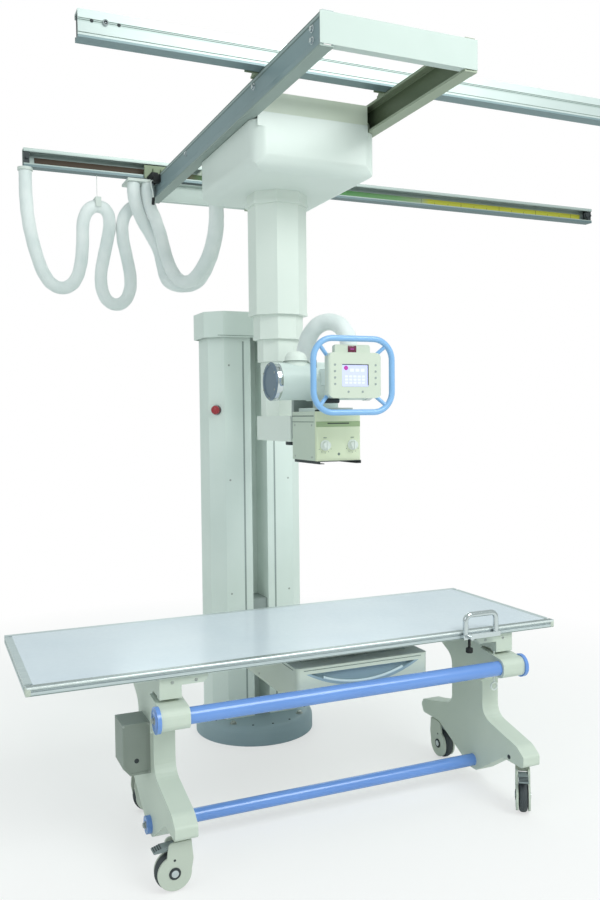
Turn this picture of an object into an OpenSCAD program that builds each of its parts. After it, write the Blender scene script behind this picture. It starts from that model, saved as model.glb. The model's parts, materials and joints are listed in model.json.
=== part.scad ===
// Radiography system: ceiling-hung x-ray tube, floor stand with detector, mobile patient table.
// Origin: centre of the stand's foot on the floor. +X runs along the ceiling rails and the table,
// +Y points away from the operator, +Z is up. All sizes are in millimetres.

/* [Ceiling rails] */
// Height of the rails' top face above the floor
ceiling_h = 2961; // [2880:1:3300]
// Length of each rail
rail_len = 3770; // [3100:10:4600]
// Distance from the stand's centre to the rails' left end
rail_left = 980; // [880:1:1200]
// Distance from the stand's centre forward to the near rail's outer face
rail_front = 984; // [900:1:1300]
// Clear distance between the two rails
rail_gap = 1614; // [1450:1:1700]
// Height of the rail section
rail_h = 96; // [84:1:120]
// Width of the rail section
rail_w = 60; // [52:1:80]

/* [Bridge] */
// Width across both beams
bridge_w = 606; // [560:1:760]
// Distance from the stand's centre forward to the bridge's front end
bridge_front = 1494; // [1400:1:1800]
// Height of a beam
beam_h = 116; // [100:1:140]
// Width of a beam
beam_w = 50; // [44:1:60]

/* [Carriage] */
// Depth of the moulded cover
cover_d = 728; // [600:1:800]
// Width of the moulded cover
cover_w = 560; // [480:1:580]
// Height of the moulded cover
cover_h = 222; // [160:1:260]

/* [Column] */
// Distance from the stand's centre forward to the column's axis
col_front = 373; // [330:1:420]
// Width across flats of the outer section
col_af = 245; // [225:1:280]
// Height of the outer section's lower end above the floor
outer_end = 2008; // [1990:1:2100]
// Length of the middle section that shows
middle_show = 108; // [108:1:180]
// Length of the inner section that shows
inner_show = 100; // [100:1:160]

/* [Tube head] */
// Distance from the column's axis forward to the tube's axis
reach = 471; // [440:1:520]
// Length of the x-ray tube over its end caps
tube_len = 452; // [400:1:520]
// Diameter of the x-ray tube
tube_d = 150; // [130:1:170]
// Height of the arm under the swivel
arm_h = 109; // [90:1:130]
// Width of the collimator
colli_w = 196; // [170:1:230]
// Depth of the collimator
colli_d = 240; // [200:1:244]
// Height of the collimator
colli_h = 196; // [170:1:210]
// Width of the control panel
panel_w = 226; // [200:1:260]
// Height of the control panel
panel_h = 172; // [150:1:190]
// Width of the grip ring over its tube
grip_w = 356; // [330:1:400]
// Height of the grip ring over its tube
grip_h = 302; // [280:1:340]
// Diameter of the grip ring's tube
grip_d = 23; // [18:1:28]

/* [Detector stand] */
// Height of the stand with its cap
stand_h = 2055; // [1800:1:2300]
// Width of the stand's column
stand_w = 468; // [400:1:520]
// Depth of the stand's column
stand_d = 267; // [240:1:300]
// Radius of the stand's round foot
foot_r = 291; // [280:1:360]
// Width of the detector housing
det_w = 560; // [500:1:600]
// Depth of the detector housing
det_d = 650; // [560:1:670]
// Height of the detector housing
det_h = 147; // [110:1:160]
// Height of the detector housing's underside above the floor
det_z = 480; // [470:1:500]

/* [Table] */
// Length of the table top
top_len = 2100; // [1900:10:2300]
// Width of the table top
top_w = 738; // [660:1:800]
// Height of the table top's upper face above the floor
table_h = 702; // [690:1:730]
// Distance between the legs' outer faces
leg_span = 1464; // [1300:1:1600]
// Thickness of a leg
leg_t = 78; // [60:1:90]
// Diameter of the upper cross tube
upper_d = 58; // [50:1:64]
// Diameter of the lower cross tube
lower_d = 50; // [40:1:56]
// Diameter of a caster wheel
wheel_d = 125; // [100:1:130]

/* [Fits] */
// Gap between pieces that move past each other
clear = 0.3; // [0.2:0.05:0.5]
// Radial clearance of a shaft in its hole
shaft_fit = 0.05; // [0.02:0.01:0.1]

/* [Hidden] */
$fn = 48;

// Colours
alu = "#C9D0D2";
cream = "#F1F0E6";
sage = "#B9C3AE";
steel_grey = "#8E979B";
sky = "#9CC8F2";
periwinkle = "#8FB2EE";
dark = "#3B4044";

// Ceiling group
rail_wall = 6;
rail_lip = 12;
lip_t = 4;
rail_z = ceiling_h - rail_h;
near_mouth = -rail_front + rail_w;
far_mouth = near_mouth + rail_gap;
rail_bolts = 5;
rail_bolt_pitch = (rail_len - 170) / (rail_bolts - 1);
rail_bolt_r = 5.5;
stop_len = 26;
beam_wall = 5;
beam_lip = 10;
beam_foot = 9;
beam_top = rail_z - 3;
beam_z = beam_top - beam_h;
bridge_rear = far_mouth + rail_w - 5;
end_sheet = 3;
end_fold = 34;
beam_inner = bridge_w / 2 - beam_w;

// Rollers run on the inner face of a rail's or beam's lower flange
rail_roller_r = 28;
beam_roller_r = 30;
roller_t = 20;
axle_r = 8;

frame_z = beam_z + 26;
frame_top = beam_top - 8;
frame_w = 2 * beam_inner - 10;
cover_top = beam_z - 2;
cover_z = frame_z - cover_h;
cover_y = -col_front - 50;
cover_x = 12;
shell = 4;

// Column: each section slides in the one above, on a guide ring at the mouth
section_step = 36;
section_wall = 9;
middle_af = col_af - section_step;
inner_af = middle_af - section_step + 4;
middle_end = outer_end - middle_show;
inner_end = middle_end - inner_show;
section_len = 640;
ring_h = 14;
collar_h = 56;
stub_r = 30;
stub_floor = 12;
swivel_af = inner_af - 26;

// Tube head
tube_y = -col_front - reach;
arm_top = inner_end - 244;
arm_z = arm_top - arm_h;
arm_w = 168;
band_t = 4;
cap_t = 24;
arm_back = -col_front + arm_w / 2;
colli_back = tube_y + colli_d / 2;
mount_t = 22;
pivot_r = 36;
pivot_len = 44;
gland_x = 30;
socket_x = 118;
gland_y = -503;
gland_r = 43;
arm_front = colli_back + mount_t;
tilt_z = arm_z + arm_h / 2;
gland_z = inner_end - 72;
tube_z = 1694 + (inner_end - 1800);
colli_z = tube_z - tube_d / 2 - colli_h - 46;
tube_x = -8;
colli_x = 12;
panel_y = tube_y - 293;
panel_z = tube_z + 13;
panel_t = 68;
grip_y = panel_y + 18;
grip_r = 80;
strut_d = 15;

// Stand
wall = 4;
stand_front = -113;
stand_back = stand_front + stand_d;
chamfer = 60;
slot_w = 80;
slot_d = 150;
foot_h = 88;
cap_h = 122;
cap_over = 22;
corner = 2 - sqrt(2);
cap_lean = cap_over * corner;
stand_body_h = stand_h - 20;
stop_z = 1587;
stop_r = 21;
stop_travel = 6;
stem_r = 10;
det_x = 10;
det_front = -1170;
pivot_y = -430;
pivot_z = det_z + 70;

// Table
top_t = 30;
panel_thick = 22;
top_x = -176;
top_y = -844;
frame_x = -56;
leg_y = -988;
tube_front = -1225;
upper_z = 538;
lower_y = -1032;
lower_z = 96;
slide_z = table_h - top_t;
leg_top = 600;
beam_level = 650;
caster_front = -1312;
caster_rear = -707;
caster_h = 178;
axle_d = 12;
trail = 34;
pedal_y = 32;
pedal_len = 72;
end_disc = 92;
foot_disc = 64;
leg_left = frame_x - leg_span / 2;
leg_right = frame_x + leg_span / 2;

// ---------- helpers ----------

// Corners of a polygon given as [x, y, radius], with each corner rounded
function unit(v) = v / norm(v);
function arc_at(a, p, b, r, n) =
    let (u = unit([a[0] - p[0], a[1] - p[1]]), v = unit([b[0] - p[0], b[1] - p[1]]),
         half = acos(u * v) / 2, c = [p[0], p[1]] + unit(u + v) * r / sin(half),
         s = [p[0], p[1]] + u * r / tan(half) - c, side = u[0] * v[1] - u[1] * v[0] > 0 ? -1 : 1,
         sweep = side * (180 - 2 * half))
    [for (i = [0:n]) let (t = sweep * i / n) c + [s[0] * cos(t) - s[1] * sin(t), s[0] * sin(t) + s[1] * cos(t)]];
function rounded(pts, n = 5) =
    let (m = len(pts))
    [for (i = [0:m - 1]) let (p = pts[i])
        each (p[2] > 0 ? arc_at(pts[(i + m - 1) % m], p, pts[(i + 1) % m], p[2], n) : [[p[0], p[1]]])];

// Rectangle with round corners, from true arcs
module round_rect(w, h, r) {
    square([w - 2 * r, h], center = true);
    square([w, h - 2 * r], center = true);
    for (x = [-1, 1], y = [-1, 1]) translate([x * (w / 2 - r), y * (h / 2 - r)]) circle(r);
}

// Box from its low corner to its high corner
module span(low, high) { translate(low) cube(high - low); }

// An outline in (y, z), extruded along +X from x
module along_x(x, t) { translate([x, 0, 0]) rotate([90, 0, 90]) linear_extrude(t) children(); }

// An outline in (x, z), extruded along +Y from y
module along_y(y, t) { translate([0, y + t, 0]) rotate([90, 0, 0]) linear_extrude(t) children(); }

// Octagonal prism by its width across flats
module octagon(af, h) { rotate([0, 0, 22.5]) cylinder(r = af / 2 / cos(22.5), h = h, $fn = 8); }

// Block with round vertical edges and round lower edges, its top face at z = 0
module tub(w, d, h, r, r_low) {
    intersection() {
        translate([0, 0, -h]) linear_extrude(h) round_rect(w, d, r);
        translate([0, d / 2, 0]) rotate([90, 0, 0]) linear_extrude(d) low_round(w, h, r_low);
        translate([-w / 2, 0, 0]) rotate([90, 0, 90]) linear_extrude(w) low_round(d, h, r_low);
    }
}

module low_round(w, h, r) {
    translate([-w / 2, -h + r]) square([w, h - r]);
    translate([-w / 2 + r, -h]) square([w - 2 * r, h]);
    for (s = [-1, 1]) translate([s * (w / 2 - r), -h + r]) circle(r);
}

// A tube swept along points, with its end faces square to its ends
function tangent(p, i) = let (n = len(p) - 1) unit(p[min(i + 1, n)] - p[max(i - 1, 0)]);
function carried(p, i) = i == 0
    ? unit(cross(tangent(p, 0), abs(tangent(p, 0)[2]) < 0.9 ? [0, 0, 1] : [0, 1, 0]))
    : let (q = carried(p, i - 1), t = tangent(p, i)) unit(q - t * (q * t));
module hose(p, d, sides = 12) {
    n = len(p);
    points = [for (i = [0:n - 1]) let (t = tangent(p, i), a = carried(p, i), b = cross(t, a))
        for (k = [0:sides - 1]) p[i] + d / 2 * (a * cos(360 * k / sides) + b * sin(360 * k / sides))];
    sides_f = [for (i = [0:n - 2], k = [0:sides - 1])
        [i * sides + k, i * sides + (k + 1) % sides, (i + 1) * sides + (k + 1) % sides, (i + 1) * sides + k]];
    polyhedron(points, concat([[for (k = [sides - 1:-1:0]) k]], sides_f,
        [[for (k = [0:sides - 1]) (n - 1) * sides + k]]), convexity = 6);
}

// ---------- ceiling rails ----------

module rail_outline() {
    difference() {
        square([rail_w, rail_h]);
        translate([rail_wall, rail_wall]) square([rail_w - rail_wall - lip_t, rail_h - 2 * rail_wall]);
        translate([rail_w / 2, rail_wall + rail_lip])
            square([rail_w, rail_h - 2 * (rail_wall + rail_lip)]);
        for (z = [0.16, 0.6, 0.66]) translate([-1, z * rail_h]) square([3, 3]);
    }
}

module rail(y, flip) {
    color(alu) difference() {
        translate([0, y, rail_z]) mirror([0, flip, 0]) along_x(-rail_left, rail_len) rail_outline();
        for (i = [0:rail_bolts - 1])
            translate([-rail_left + 85 + i * rail_bolt_pitch, y + (flip ? -1 : 1) * rail_w / 2,
                       ceiling_h - 2 * rail_wall])
                cylinder(r = rail_bolt_r, h = 3 * rail_wall);
    }
}

module near_rail() { rail(-rail_front, 0); }

module far_rail() { rail(far_mouth + rail_w, 1); }

module end_stop() {
    h = rail_h - 2 * rail_wall;
    span([0, -rail_w + rail_wall, rail_wall], [stop_len, -lip_t, rail_wall + h]);
    translate([stop_len / 2, -lip_t - 1, rail_h / 2]) rotate([-90, 0, 0]) cylinder(r = 9, h = 12, $fn = 6);
}

module rail_end_stops() {
    color(dark) for (x = [-rail_left + 4, rail_len - rail_left - stop_len - 4]) {
        translate([x, near_mouth, rail_z]) end_stop();
        translate([x, far_mouth, rail_z]) mirror([0, 1, 0]) end_stop();
    }
}

module scale_strip() {
    y = far_mouth + rail_w - rail_wall;
    color("#B9BE3C") span([-rail_left + 60, y - 1.5, rail_z + 30], [rail_len - rail_left - 60, y, rail_z + 62]);
}

// ---------- bridge ----------

// Beam section: outer web with a flared foot, two flanges with lips, open to +x
module beam_outline() {
    w = beam_w;
    h = beam_h;
    t = beam_wall;
    f = beam_foot;
    polygon([[0, 0], [w, 0], [w, beam_lip], [w - t, beam_lip], [w - t, t], [f + t, t], [f + t, h - t],
             [w - t, h - t], [w - t, h - beam_lip], [w, h - beam_lip], [w, h], [f, h], [f, 4 * f], [0, f]]);
}

module beam() {
    color(alu) translate([-bridge_w / 2, 0, beam_z])
        along_y(-bridge_front + end_sheet, bridge_front + bridge_rear - 2 * end_sheet) beam_outline();
}

module left_beam() { beam(); }

module right_beam() { mirror([1, 0, 0]) beam(); }

// Folded sheets over the beams' ends: a white one in front, a plain tie at the rear
module end_sheet_at(y, out) {
    z0 = beam_z + 8;
    z1 = beam_top - 4;
    w = beam_inner - 1;
    translate([0, y, 0]) mirror([0, out, 0]) {
        span([-bridge_w / 2, 0, z0], [bridge_w / 2, end_sheet, z1]);
        span([-w, 1, z0], [w, end_fold, z0 + end_sheet]);
        span([-w, 1, z1 - end_sheet], [w, end_fold, z1]);
    }
}

module bridge_end_covers() {
    color("#F6F7F4") end_sheet_at(-bridge_front, 0);
    color(alu) end_sheet_at(bridge_rear, 1);
}

// Bracket on a beam with two rollers inside the rail, drawn with the rail's mouth at y = 0
module trolley() {
    z = rail_z + rail_wall + rail_roller_r + clear;
    gap = 4;
    span([-70, gap, beam_top], [70, gap + 8, z + 34]);
    span([-beam_w / 2, gap, beam_top], [beam_w / 2, 66, beam_top + 8]);
    for (x = [-beam_w / 2, beam_w / 2 - 6]) along_x(x, 6)
        polygon([[gap + 7, beam_top + 7], [60, beam_top + 7], [gap + 7, z + 20]]);
    for (x = [-38, 38]) {
        translate([x, gap + 1, z]) rotate([90, 0, 0]) cylinder(r = axle_r, h = gap + lip_t + 8);
        translate([x, -lip_t - 5, z]) rotate([90, 0, 0]) cylinder(r = rail_roller_r, h = roller_t);
    }
}

module bridge_trolleys() {
    color(steel_grey) for (s = [-1, 1]) {
        translate([s * (bridge_w - beam_w) / 2, near_mouth, 0]) trolley();
        translate([s * (bridge_w - beam_w) / 2, far_mouth, 0]) mirror([0, 1, 0]) trolley();
    }
}

// ---------- carriage ----------

module carriage_frame() {
    y0 = cover_y - cover_d / 2;
    y1 = cover_y + cover_d / 2;
    z = beam_z + beam_wall + clear + beam_roller_r;
    web_gap = beam_wall + beam_foot + 5;
    color(sage) {
        difference() {
            span([-frame_w / 2, y0 + 3, frame_z], [frame_w / 2, y1 - 3, frame_top]);
            span([-frame_w / 2 + shell, y0 + 3 + shell, frame_z + shell],
                 [frame_w / 2 - shell, y1 - 3 - shell, frame_top + 1]);
        }
        span([-196, y1 - 4, frame_z], [-66, 202, frame_z + 6]);
        for (p = [front_path, rear_path]) let (e = p[len(p) - 1])
            translate(e + [0, 0, clear]) cylinder(r = supply_d / 2 + 2, h = frame_z + 1 - e[2] - clear);
        for (s = [-1, 1], y = [y0 + 80, y1 - 80]) translate([s * (bridge_w / 2 - web_gap), y, z])
            rotate([0, -s * 90, 0]) {
                cylinder(r = beam_roller_r, h = roller_t);
                cylinder(r = axle_r, h = bridge_w / 2 - web_gap - frame_w / 2 + shell);
            }
    }
}

module cover_form(grow, up) {
    translate([cover_x, cover_y, cover_top + up])
        tub(cover_w + 2 * grow, cover_d + 2 * grow, cover_top - cover_z + grow + up, 58 + grow, 58 + grow);
}

module carriage_cover() {
    neck = frame_w / 2;
    color(cream) difference() {
        union() {
            cover_form(0, 0);
            span([-neck, cover_y - cover_d / 2, cover_top - 30], [neck, cover_y - cover_d / 2 + shell, frame_z]);
            span([-neck, cover_y + cover_d / 2 - shell, cover_top - 30], [neck, cover_y + cover_d / 2, frame_z]);
        }
        cover_form(-shell, 1);
        translate([0, -col_front, cover_z - 1]) octagon(col_af + 2 * clear, 2 * shell);
    }
}

// ---------- telescopic column ----------

// Octagonal tube from z up by len, with a guide ring at its mouth for the next section
module section(af, z, length, next_af, floor_t) {
    translate([0, -col_front, z]) difference() {
        union() {
            octagon(af, length);
            if (next_af > 0) octagon(af + 5, ring_h);
        }
        translate([0, 0, floor_t > 0 ? floor_t : ring_h]) octagon(af - 2 * section_wall, length);
        if (next_af > 0) translate([0, 0, -1]) octagon(next_af + 2 * clear, ring_h + 2);
        if (floor_t > 0) translate([0, 0, -1]) cylinder(r = stub_r + shaft_fit, h = floor_t + 2);
    }
}

module column_outer() {
    color(cream) {
        section(col_af, outer_end, frame_z - outer_end, middle_af, 0);
        translate([0, -col_front, cover_z - collar_h]) difference() {
            union() {
                octagon(col_af + 8, collar_h);
                octagon(col_af + 20, 16);
            }
            translate([0, 0, -1]) octagon(col_af - 1, collar_h + 2);
        }
    }
}

module column_middle() { color(cream) section(middle_af, middle_end, section_len, inner_af, 0); }

module column_inner() { color(cream) section(inner_af, inner_end, section_len, 0, stub_floor); }

// ---------- tube head ----------

// Hangs from the inner section on a stub shaft with a flange; the arm under it holds the tilt bearing
module swivel_head() {
    color(cream) difference() {
        union() {
            translate([0, -col_front, arm_top - 1]) octagon(swivel_af, inner_end - clear - arm_top + 1);
            translate([0, -col_front, inner_end - 1]) cylinder(r = stub_r, h = stub_floor + clear + 2);
            translate([0, -col_front, inner_end + stub_floor + clear]) cylinder(r = stub_r + 18, h = 10);
            translate([0, 0, arm_z]) linear_extrude(arm_h)
                polygon(rounded([[-arm_w / 2, arm_front + clear, 0], [arm_w / 2, arm_front + clear, 0],
                                 [arm_w / 2, arm_back, 24], [-arm_w / 2, arm_back, 24]]));
            translate([gland_x, gland_y, gland_z]) rotate([-90, 0, 0])
                cylinder(r = gland_r, h = -gland_y - col_front - swivel_af / 2 + 1);
        }
        translate([0, arm_front, tilt_z]) rotate([-90, 0, 0])
            cylinder(r = pivot_r + shaft_fit, h = pivot_len + 2 * clear);
    }
}

// Plate on the arm's front: carries the tube above and the collimator below, and turns on the arm's axis
module tube_mount() {
    color(steel_grey) difference() {
        union() {
            along_y(colli_back, mount_t) polygon(rounded([[-78, tilt_z - 52, 20], [78, tilt_z - 52, 20],
                [78, tube_z + 34, 30], [-78, tube_z + 34, 30]]));
            span([-56, tube_y + tube_d / 2 - 22, tube_z - 40], [56, colli_back + 1, tube_z + 30]);
            translate([0, arm_front - 1, tilt_z]) rotate([-90, 0, 0]) cylinder(r = pivot_r, h = pivot_len + 1);
        }
        translate([-tube_len / 2, tube_y, tube_z]) rotate([0, 90, 0])
            cylinder(d = tube_d + 2 * band_t + 2 * clear, h = tube_len);
    }
}

// Tube shell with its middle band, the port to the collimator and the panel's bracket
module tube_housing() {
    neck = tube_z - colli_z - colli_h;
    color(cream) difference() {
        union() {
            translate([tube_x - tube_len / 2 + cap_t, tube_y, tube_z]) rotate([0, 90, 0])
                cylinder(d = tube_d, h = tube_len - 2 * cap_t);
            translate([-66, tube_y, tube_z]) rotate([0, 90, 0]) cylinder(d = tube_d + 2 * band_t, h = 132);
            translate([colli_x, tube_y, colli_z + colli_h]) cylinder(r = 52, h = neck);
            translate([colli_x, tube_y, colli_z + colli_h]) linear_extrude(14) round_rect(172, 172, 12);
            span([-44, panel_y + panel_t, panel_z - 30], [44, tube_y, panel_z + 34]);
        }
        translate([colli_x, tube_y, colli_z + colli_h - 1]) cylinder(r = 40, h = neck - tube_d / 4);
    }
}

module tube_end_caps() {
    r = tube_d / 2;
    color("#AAB8CC") for (s = [-1, 1])
        translate([tube_x + s * tube_len / 2, tube_y, tube_z]) rotate([0, -s * 90, 0])
            rotate_extrude() polygon([[0, 4], [r - 17, 4], [r - 15, 0], [r - 4, 0], [r + 1, 5], [r + 1, cap_t],
                                      [0, cap_t]]);
}

// Two high-voltage sockets on the tube, each with a domed cap
module cable_sockets() {
    top = tube_z + tube_d / 2;
    color(cream) for (x = [-socket_x, socket_x]) translate([x, tube_y, top - 16]) difference() {
        rotate_extrude() polygon([[0, 0], [46, 0], [46, 18], [50, 18], [50, 24], [46, 24], [44, 40], [34, 54],
                                  [18, 61], [0, 63]]);
        translate([-60, 0, 16 - tube_d / 2]) rotate([0, 90, 0]) cylinder(d = tube_d + 2 * clear, h = 120);
    }
}

head_hose_path = [[30, -503.3, 1728], [30, -534, 1728], [30, -566, 1742], [24, -598, 1770], [16, -628, 1812],
    [14, -656, 1860], [22, -686, 1904], [42, -718, 1936], [70, -752, 1948], [96, -786, 1938], [112, -816, 1910],
    [118, -844, 1868], [118, -844, 1816]];
hose_d = 72;

module head_hose() {
    color("#F4F6F6") translate([0, 0, inner_end - 1800]) hose(head_hose_path, hose_d, 12);
}

module collimator_body() {
    color("#D9DCD2") difference() {
        translate([colli_x, tube_y + 6, colli_z]) linear_extrude(colli_h) round_rect(colli_w, colli_d - 12, 6);
        span([-colli_w, tube_y - colli_d, colli_z - 1], [colli_w, tube_y - colli_d / 2 + 12, colli_z + colli_h + 1]);
        translate([colli_x, tube_y, colli_z - 1]) linear_extrude(30) square([110, 110], center = true);
    }
}

// Front cover: a thick moulding with a recessed band near the top
module collimator_front() {
    y = tube_y - colli_d / 2;
    color(cream) difference() {
        translate([colli_x, 0, colli_z]) linear_extrude(colli_h) polygon(rounded([[-colli_w / 2, y + 12, 0],
            [-colli_w / 2, y, 7], [colli_w / 2, y, 7], [colli_w / 2, y + 12, 0]]));
        span([-colli_w, y - 1, colli_z + colli_h - 62], [colli_w, y + 3, colli_z + colli_h - 40]);
        for (x = [-60, 60]) translate([colli_x + x, y - 1, colli_z + 62]) rotate([-90, 0, 0])
            cylinder(r = 4 + shaft_fit, h = 20);
    }
}

module accessory_rails() {
    w = colli_w / 2 - 6;
    y = tube_y - colli_d / 2;
    color(dark) translate([colli_x, 0, 0]) {
        for (s = [0, 1]) mirror([s, 0, 0]) along_y(y - 14, colli_d + 4)
            polygon([[w, colli_z], [w, colli_z - 12], [w - 22, colli_z - 12], [w - 22, colli_z - 9],
                     [w - 4, colli_z - 9], [w - 4, colli_z]]);
        span([-w, y - 10, colli_z - 3], [w, y + 4, colli_z]);
    }
}

module colli_knob(x) {
    y = tube_y - colli_d / 2;
    color(cream) translate([colli_x + x, y - clear, colli_z + 62]) rotate([90, 0, 0]) {
        rotate_extrude() polygon([[0, 0], [21, 0], [21, 5], [17, 7], [16, 22], [13, 25], [0, 25]]);
        span([-3, -16, 20], [3, 16, 29]);
        translate([0, 0, -12]) cylinder(r = 4, h = 13);
    }
}

module collimator_knob_left() { colli_knob(-60); }

module collimator_knob_right() { colli_knob(60); }

// ---------- control panel ----------

module panel_housing() {
    screen_w = 112;
    screen_h = 84;
    color(cream) difference() {
        union() {
            intersection() {
                along_y(panel_y, panel_t) translate([0, panel_z]) round_rect(panel_w, panel_h, 26);
                translate([0, 0, panel_z - panel_h]) linear_extrude(2 * panel_h)
                    polygon(rounded([[-panel_w / 2, panel_y, 12], [panel_w / 2, panel_y, 12],
                        [panel_w / 2, panel_y + 34, 10], [panel_w / 2 - 26, panel_y + panel_t, 10],
                        [-panel_w / 2 + 26, panel_y + panel_t, 10], [-panel_w / 2, panel_y + 34, 10]]));
            }
            along_y(panel_y + 24, 22) translate([0, panel_z + panel_h / 2 + 10]) round_rect(150, 42, 10);
        }
        translate([0, 0, panel_z]) along_y(panel_y - 1, 4) round_rect(screen_w, screen_h, 3);
        for (s = [-1, 1], k = [0:3])
            translate([s * 86, panel_y - 1, panel_z + 39 - 24 * k]) rotate([-90, 0, 0]) cylinder(r = 4.5, h = 4);
        for (s = [-1, 1]) translate([s * 30, panel_y - 1, panel_z - 62]) rotate([-90, 0, 0]) cylinder(r = 4.5, h = 4);
        translate([0, grip_y, panel_z]) struts(strut_d + 2 * shaft_fit);
    }
}

module panel_screen() {
    color("#DDE2F2") translate([0, 0, panel_z]) along_y(panel_y + 0.5, 2.5) round_rect(111, 83, 3);
}

module panel_keys() {
    color("#C8D2CC") {
        for (s = [-1, 1], k = [0:3])
            translate([s * 86, panel_y - 0.8, panel_z + 39 - 24 * k]) rotate([-90, 0, 0]) cylinder(r = 4.3, h = 3.8);
        for (s = [-1, 1]) translate([s * 30, panel_y - 0.8, panel_z - 62]) rotate([-90, 0, 0]) cylinder(r = 4.3, h = 3.8);
    }
}

// Closed ring of tube with four struts that plug into the panel's rear corners
module grip_ring() {
    a = grip_w / 2 - grip_r - grip_d / 2;
    b = grip_h / 2 - grip_r - grip_d / 2;
    color(sky) translate([0, grip_y, panel_z]) {
        for (s = [0, 1]) mirror([s, 0, 0]) {
            translate([a + grip_r, 0, -b]) cylinder(d = grip_d, h = 2 * b);
            for (q = [0, 1]) mirror([0, 0, q]) translate([a, 0, b]) rotate([90, 0, 0])
                rotate_extrude(angle = 90) translate([grip_r, 0]) circle(d = grip_d);
        }
        for (s = [-1, 1]) translate([-a, 0, s * (b + grip_r)]) rotate([0, 90, 0]) cylinder(d = grip_d, h = 2 * a);
        struts(strut_d);
    }
}

// Struts from the ring's corners inwards and back to the panel
module struts(d) {
    x = grip_w / 2 - grip_d / 2 - 0.3 * grip_r;
    z = grip_h / 2 - grip_d / 2 - 0.3 * grip_r;
    for (sx = [-1, 1], sz = [-1, 1]) {
        from = [sx * x, 0, sz * z];
        v = [sx * (panel_w / 2 - 24), 26, sz * (panel_h / 2 - 22)] - from;
        translate(from) rotate([0, acos(v[2] / norm(v)), atan2(v[1], v[0])]) cylinder(d = d, h = norm(v));
    }
}

// ---------- hoses ----------

// Round points of each hose's centre line, from its fixed end to its free end
supply_path = [[-970, 720, 2850], [-970, 720, 2790], [-968, 720, 2710], [-962, 720, 2620], [-944, 720, 2508],
    [-916, 720, 2400], [-878, 720, 2306], [-840, 720, 2264], [-798, 720, 2250], [-756, 720, 2262],
    [-720, 720, 2302], [-694, 720, 2380], [-682, 720, 2480], [-678, 720, 2582], [-664, 720, 2646],
    [-630, 720, 2688], [-590, 720, 2696], [-552, 720, 2676], [-535, 720, 2612], [-548, 720, 2521],
    [-573, 720, 2410], [-587, 720, 2309], [-576, 720, 2232], [-546, 720, 2187], [-506, 720, 2173],
    [-466, 720, 2189], [-435, 720, 2240], [-426, 720, 2319], [-444, 720, 2430], [-464, 720, 2540],
    [-462, 720, 2626], [-434, 720, 2686], [-394, 720, 2720], [-350, 720, 2768], [-350, 720, 2822]];
front_path = [[-342, 640, 2822], [-342, 640, 2766], [-334, 634, 2706], [-308, 616, 2630], [-290, 584, 2546],
    [-280, 540, 2452], [-270, 500, 2378], [-254, 460, 2316], [-235, 415, 2276], [-213, 365, 2260],
    [-190, 310, 2270], [-165, 250, 2312], [-146, 190, 2374], [-136, 140, 2446], [-136, 106, 2512],
    [-139, 86, 2572], [-139, 86, 2620]];
rear_path = [[-418, 644, 2822], [-418, 644, 2766], [-406, 642, 2704], [-370, 662, 2630], [-320, 660, 2546],
    [-284, 628, 2452], [-278, 592, 2378], [-274, 556, 2318], [-262, 522, 2278], [-224, 505, 2260],
    [-178, 470, 2256], [-146, 410, 2266], [-126, 350, 2300], [-110, 290, 2362], [-102, 232, 2434],
    [-101, 188, 2500], [-107, 162, 2560], [-107, 162, 2620]];
supply_d = 68;
hang_x = -600;
hang_z = 2694;
gland_block_z = 2822;

module supply_hose() { color("#F4F6F6") hose(supply_path, supply_d); }

// Clamp on a wire under the far rail, the fitting at the hose's outer end, and the bridge's gland block
module hose_fittings() {
    y = supply_path[0][1];
    color("#E4E8E4") {
        difference() {
            span([hang_x - 15, y - 40, hang_z - 6], [hang_x + 15, y + 40, hang_z + 46]);
            translate([hang_x - 16, y, hang_z]) rotate([0, 90, 0]) cylinder(d = supply_d + 4, h = 32);
        }
        translate([hang_x, y, hang_z + 40]) cylinder(r = 1.5, h = rail_z - clear - hang_z - 40, $fn = 24);
        translate(supply_path[0]) cylinder(d = supply_d + 10, h = rail_z - clear - supply_path[0][2]);
        span([-456, 602, gland_block_z], [-bridge_w / 2 - 4, 758, gland_block_z + 14]);
        span([-bridge_w / 2 - 5, 610, gland_block_z], [-bridge_w / 2 + beam_foot, 730, gland_block_z + 14]);
    }
}

// Pair of hoses from the bridge's gland block down and up again to the carriage
module carriage_hoses() {
    color("#F4F6F6") {
        hose(front_path, supply_d);
        hose(rear_path, supply_d);
    }
}

// ---------- detector stand ----------

module stand_outline(w, d, c) {
    polygon([[-w / 2, -d / 2 + c], [-w / 2 + c, -d / 2], [w / 2 - c, -d / 2], [w / 2, -d / 2 + c],
             [w / 2, d / 2 - c], [w / 2 - c, d / 2], [-w / 2 + c, d / 2], [-w / 2, d / 2 - c]]);
}

module stand_foot() {
    color("#9FB0B0") difference() {
        rotate_extrude($fn = 72) polygon(concat([[0, 0], [foot_r, 0], [foot_r, foot_h - 34]],
            [for (t = [15:15:90]) [foot_r - 34 + 34 * cos(t), foot_h - 34 + 34 * sin(t)]], [[0, foot_h]]));
        for (k = [0:3]) rotate([0, 0, 45 + 90 * k]) translate([foot_r - 48, 0, -1]) cylinder(r = 7, h = foot_h + 2);
    }
}

module stand_column() {
    w = stand_w;
    t = wall;
    y = (stand_front + stand_back) / 2;
    color(cream) difference() {
        translate([0, y, foot_h]) linear_extrude(stand_body_h - foot_h) difference() {
            union() {
                difference() {
                    stand_outline(w, stand_d, chamfer);
                    stand_outline(w - 2 * t, stand_d - 2 * t, chamfer - t * corner);
                }
                translate([-slot_w / 2 - t, -stand_d / 2]) square([slot_w + 2 * t, slot_d + t]);
            }
            translate([-slot_w / 2, -stand_d / 2 - 1]) square([slot_w, slot_d + 1]);
        }
        on_chamfer() translate([0, 0, -3 * t]) cylinder(r = stem_r + 1, h = 6 * t);
    }
}

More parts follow.
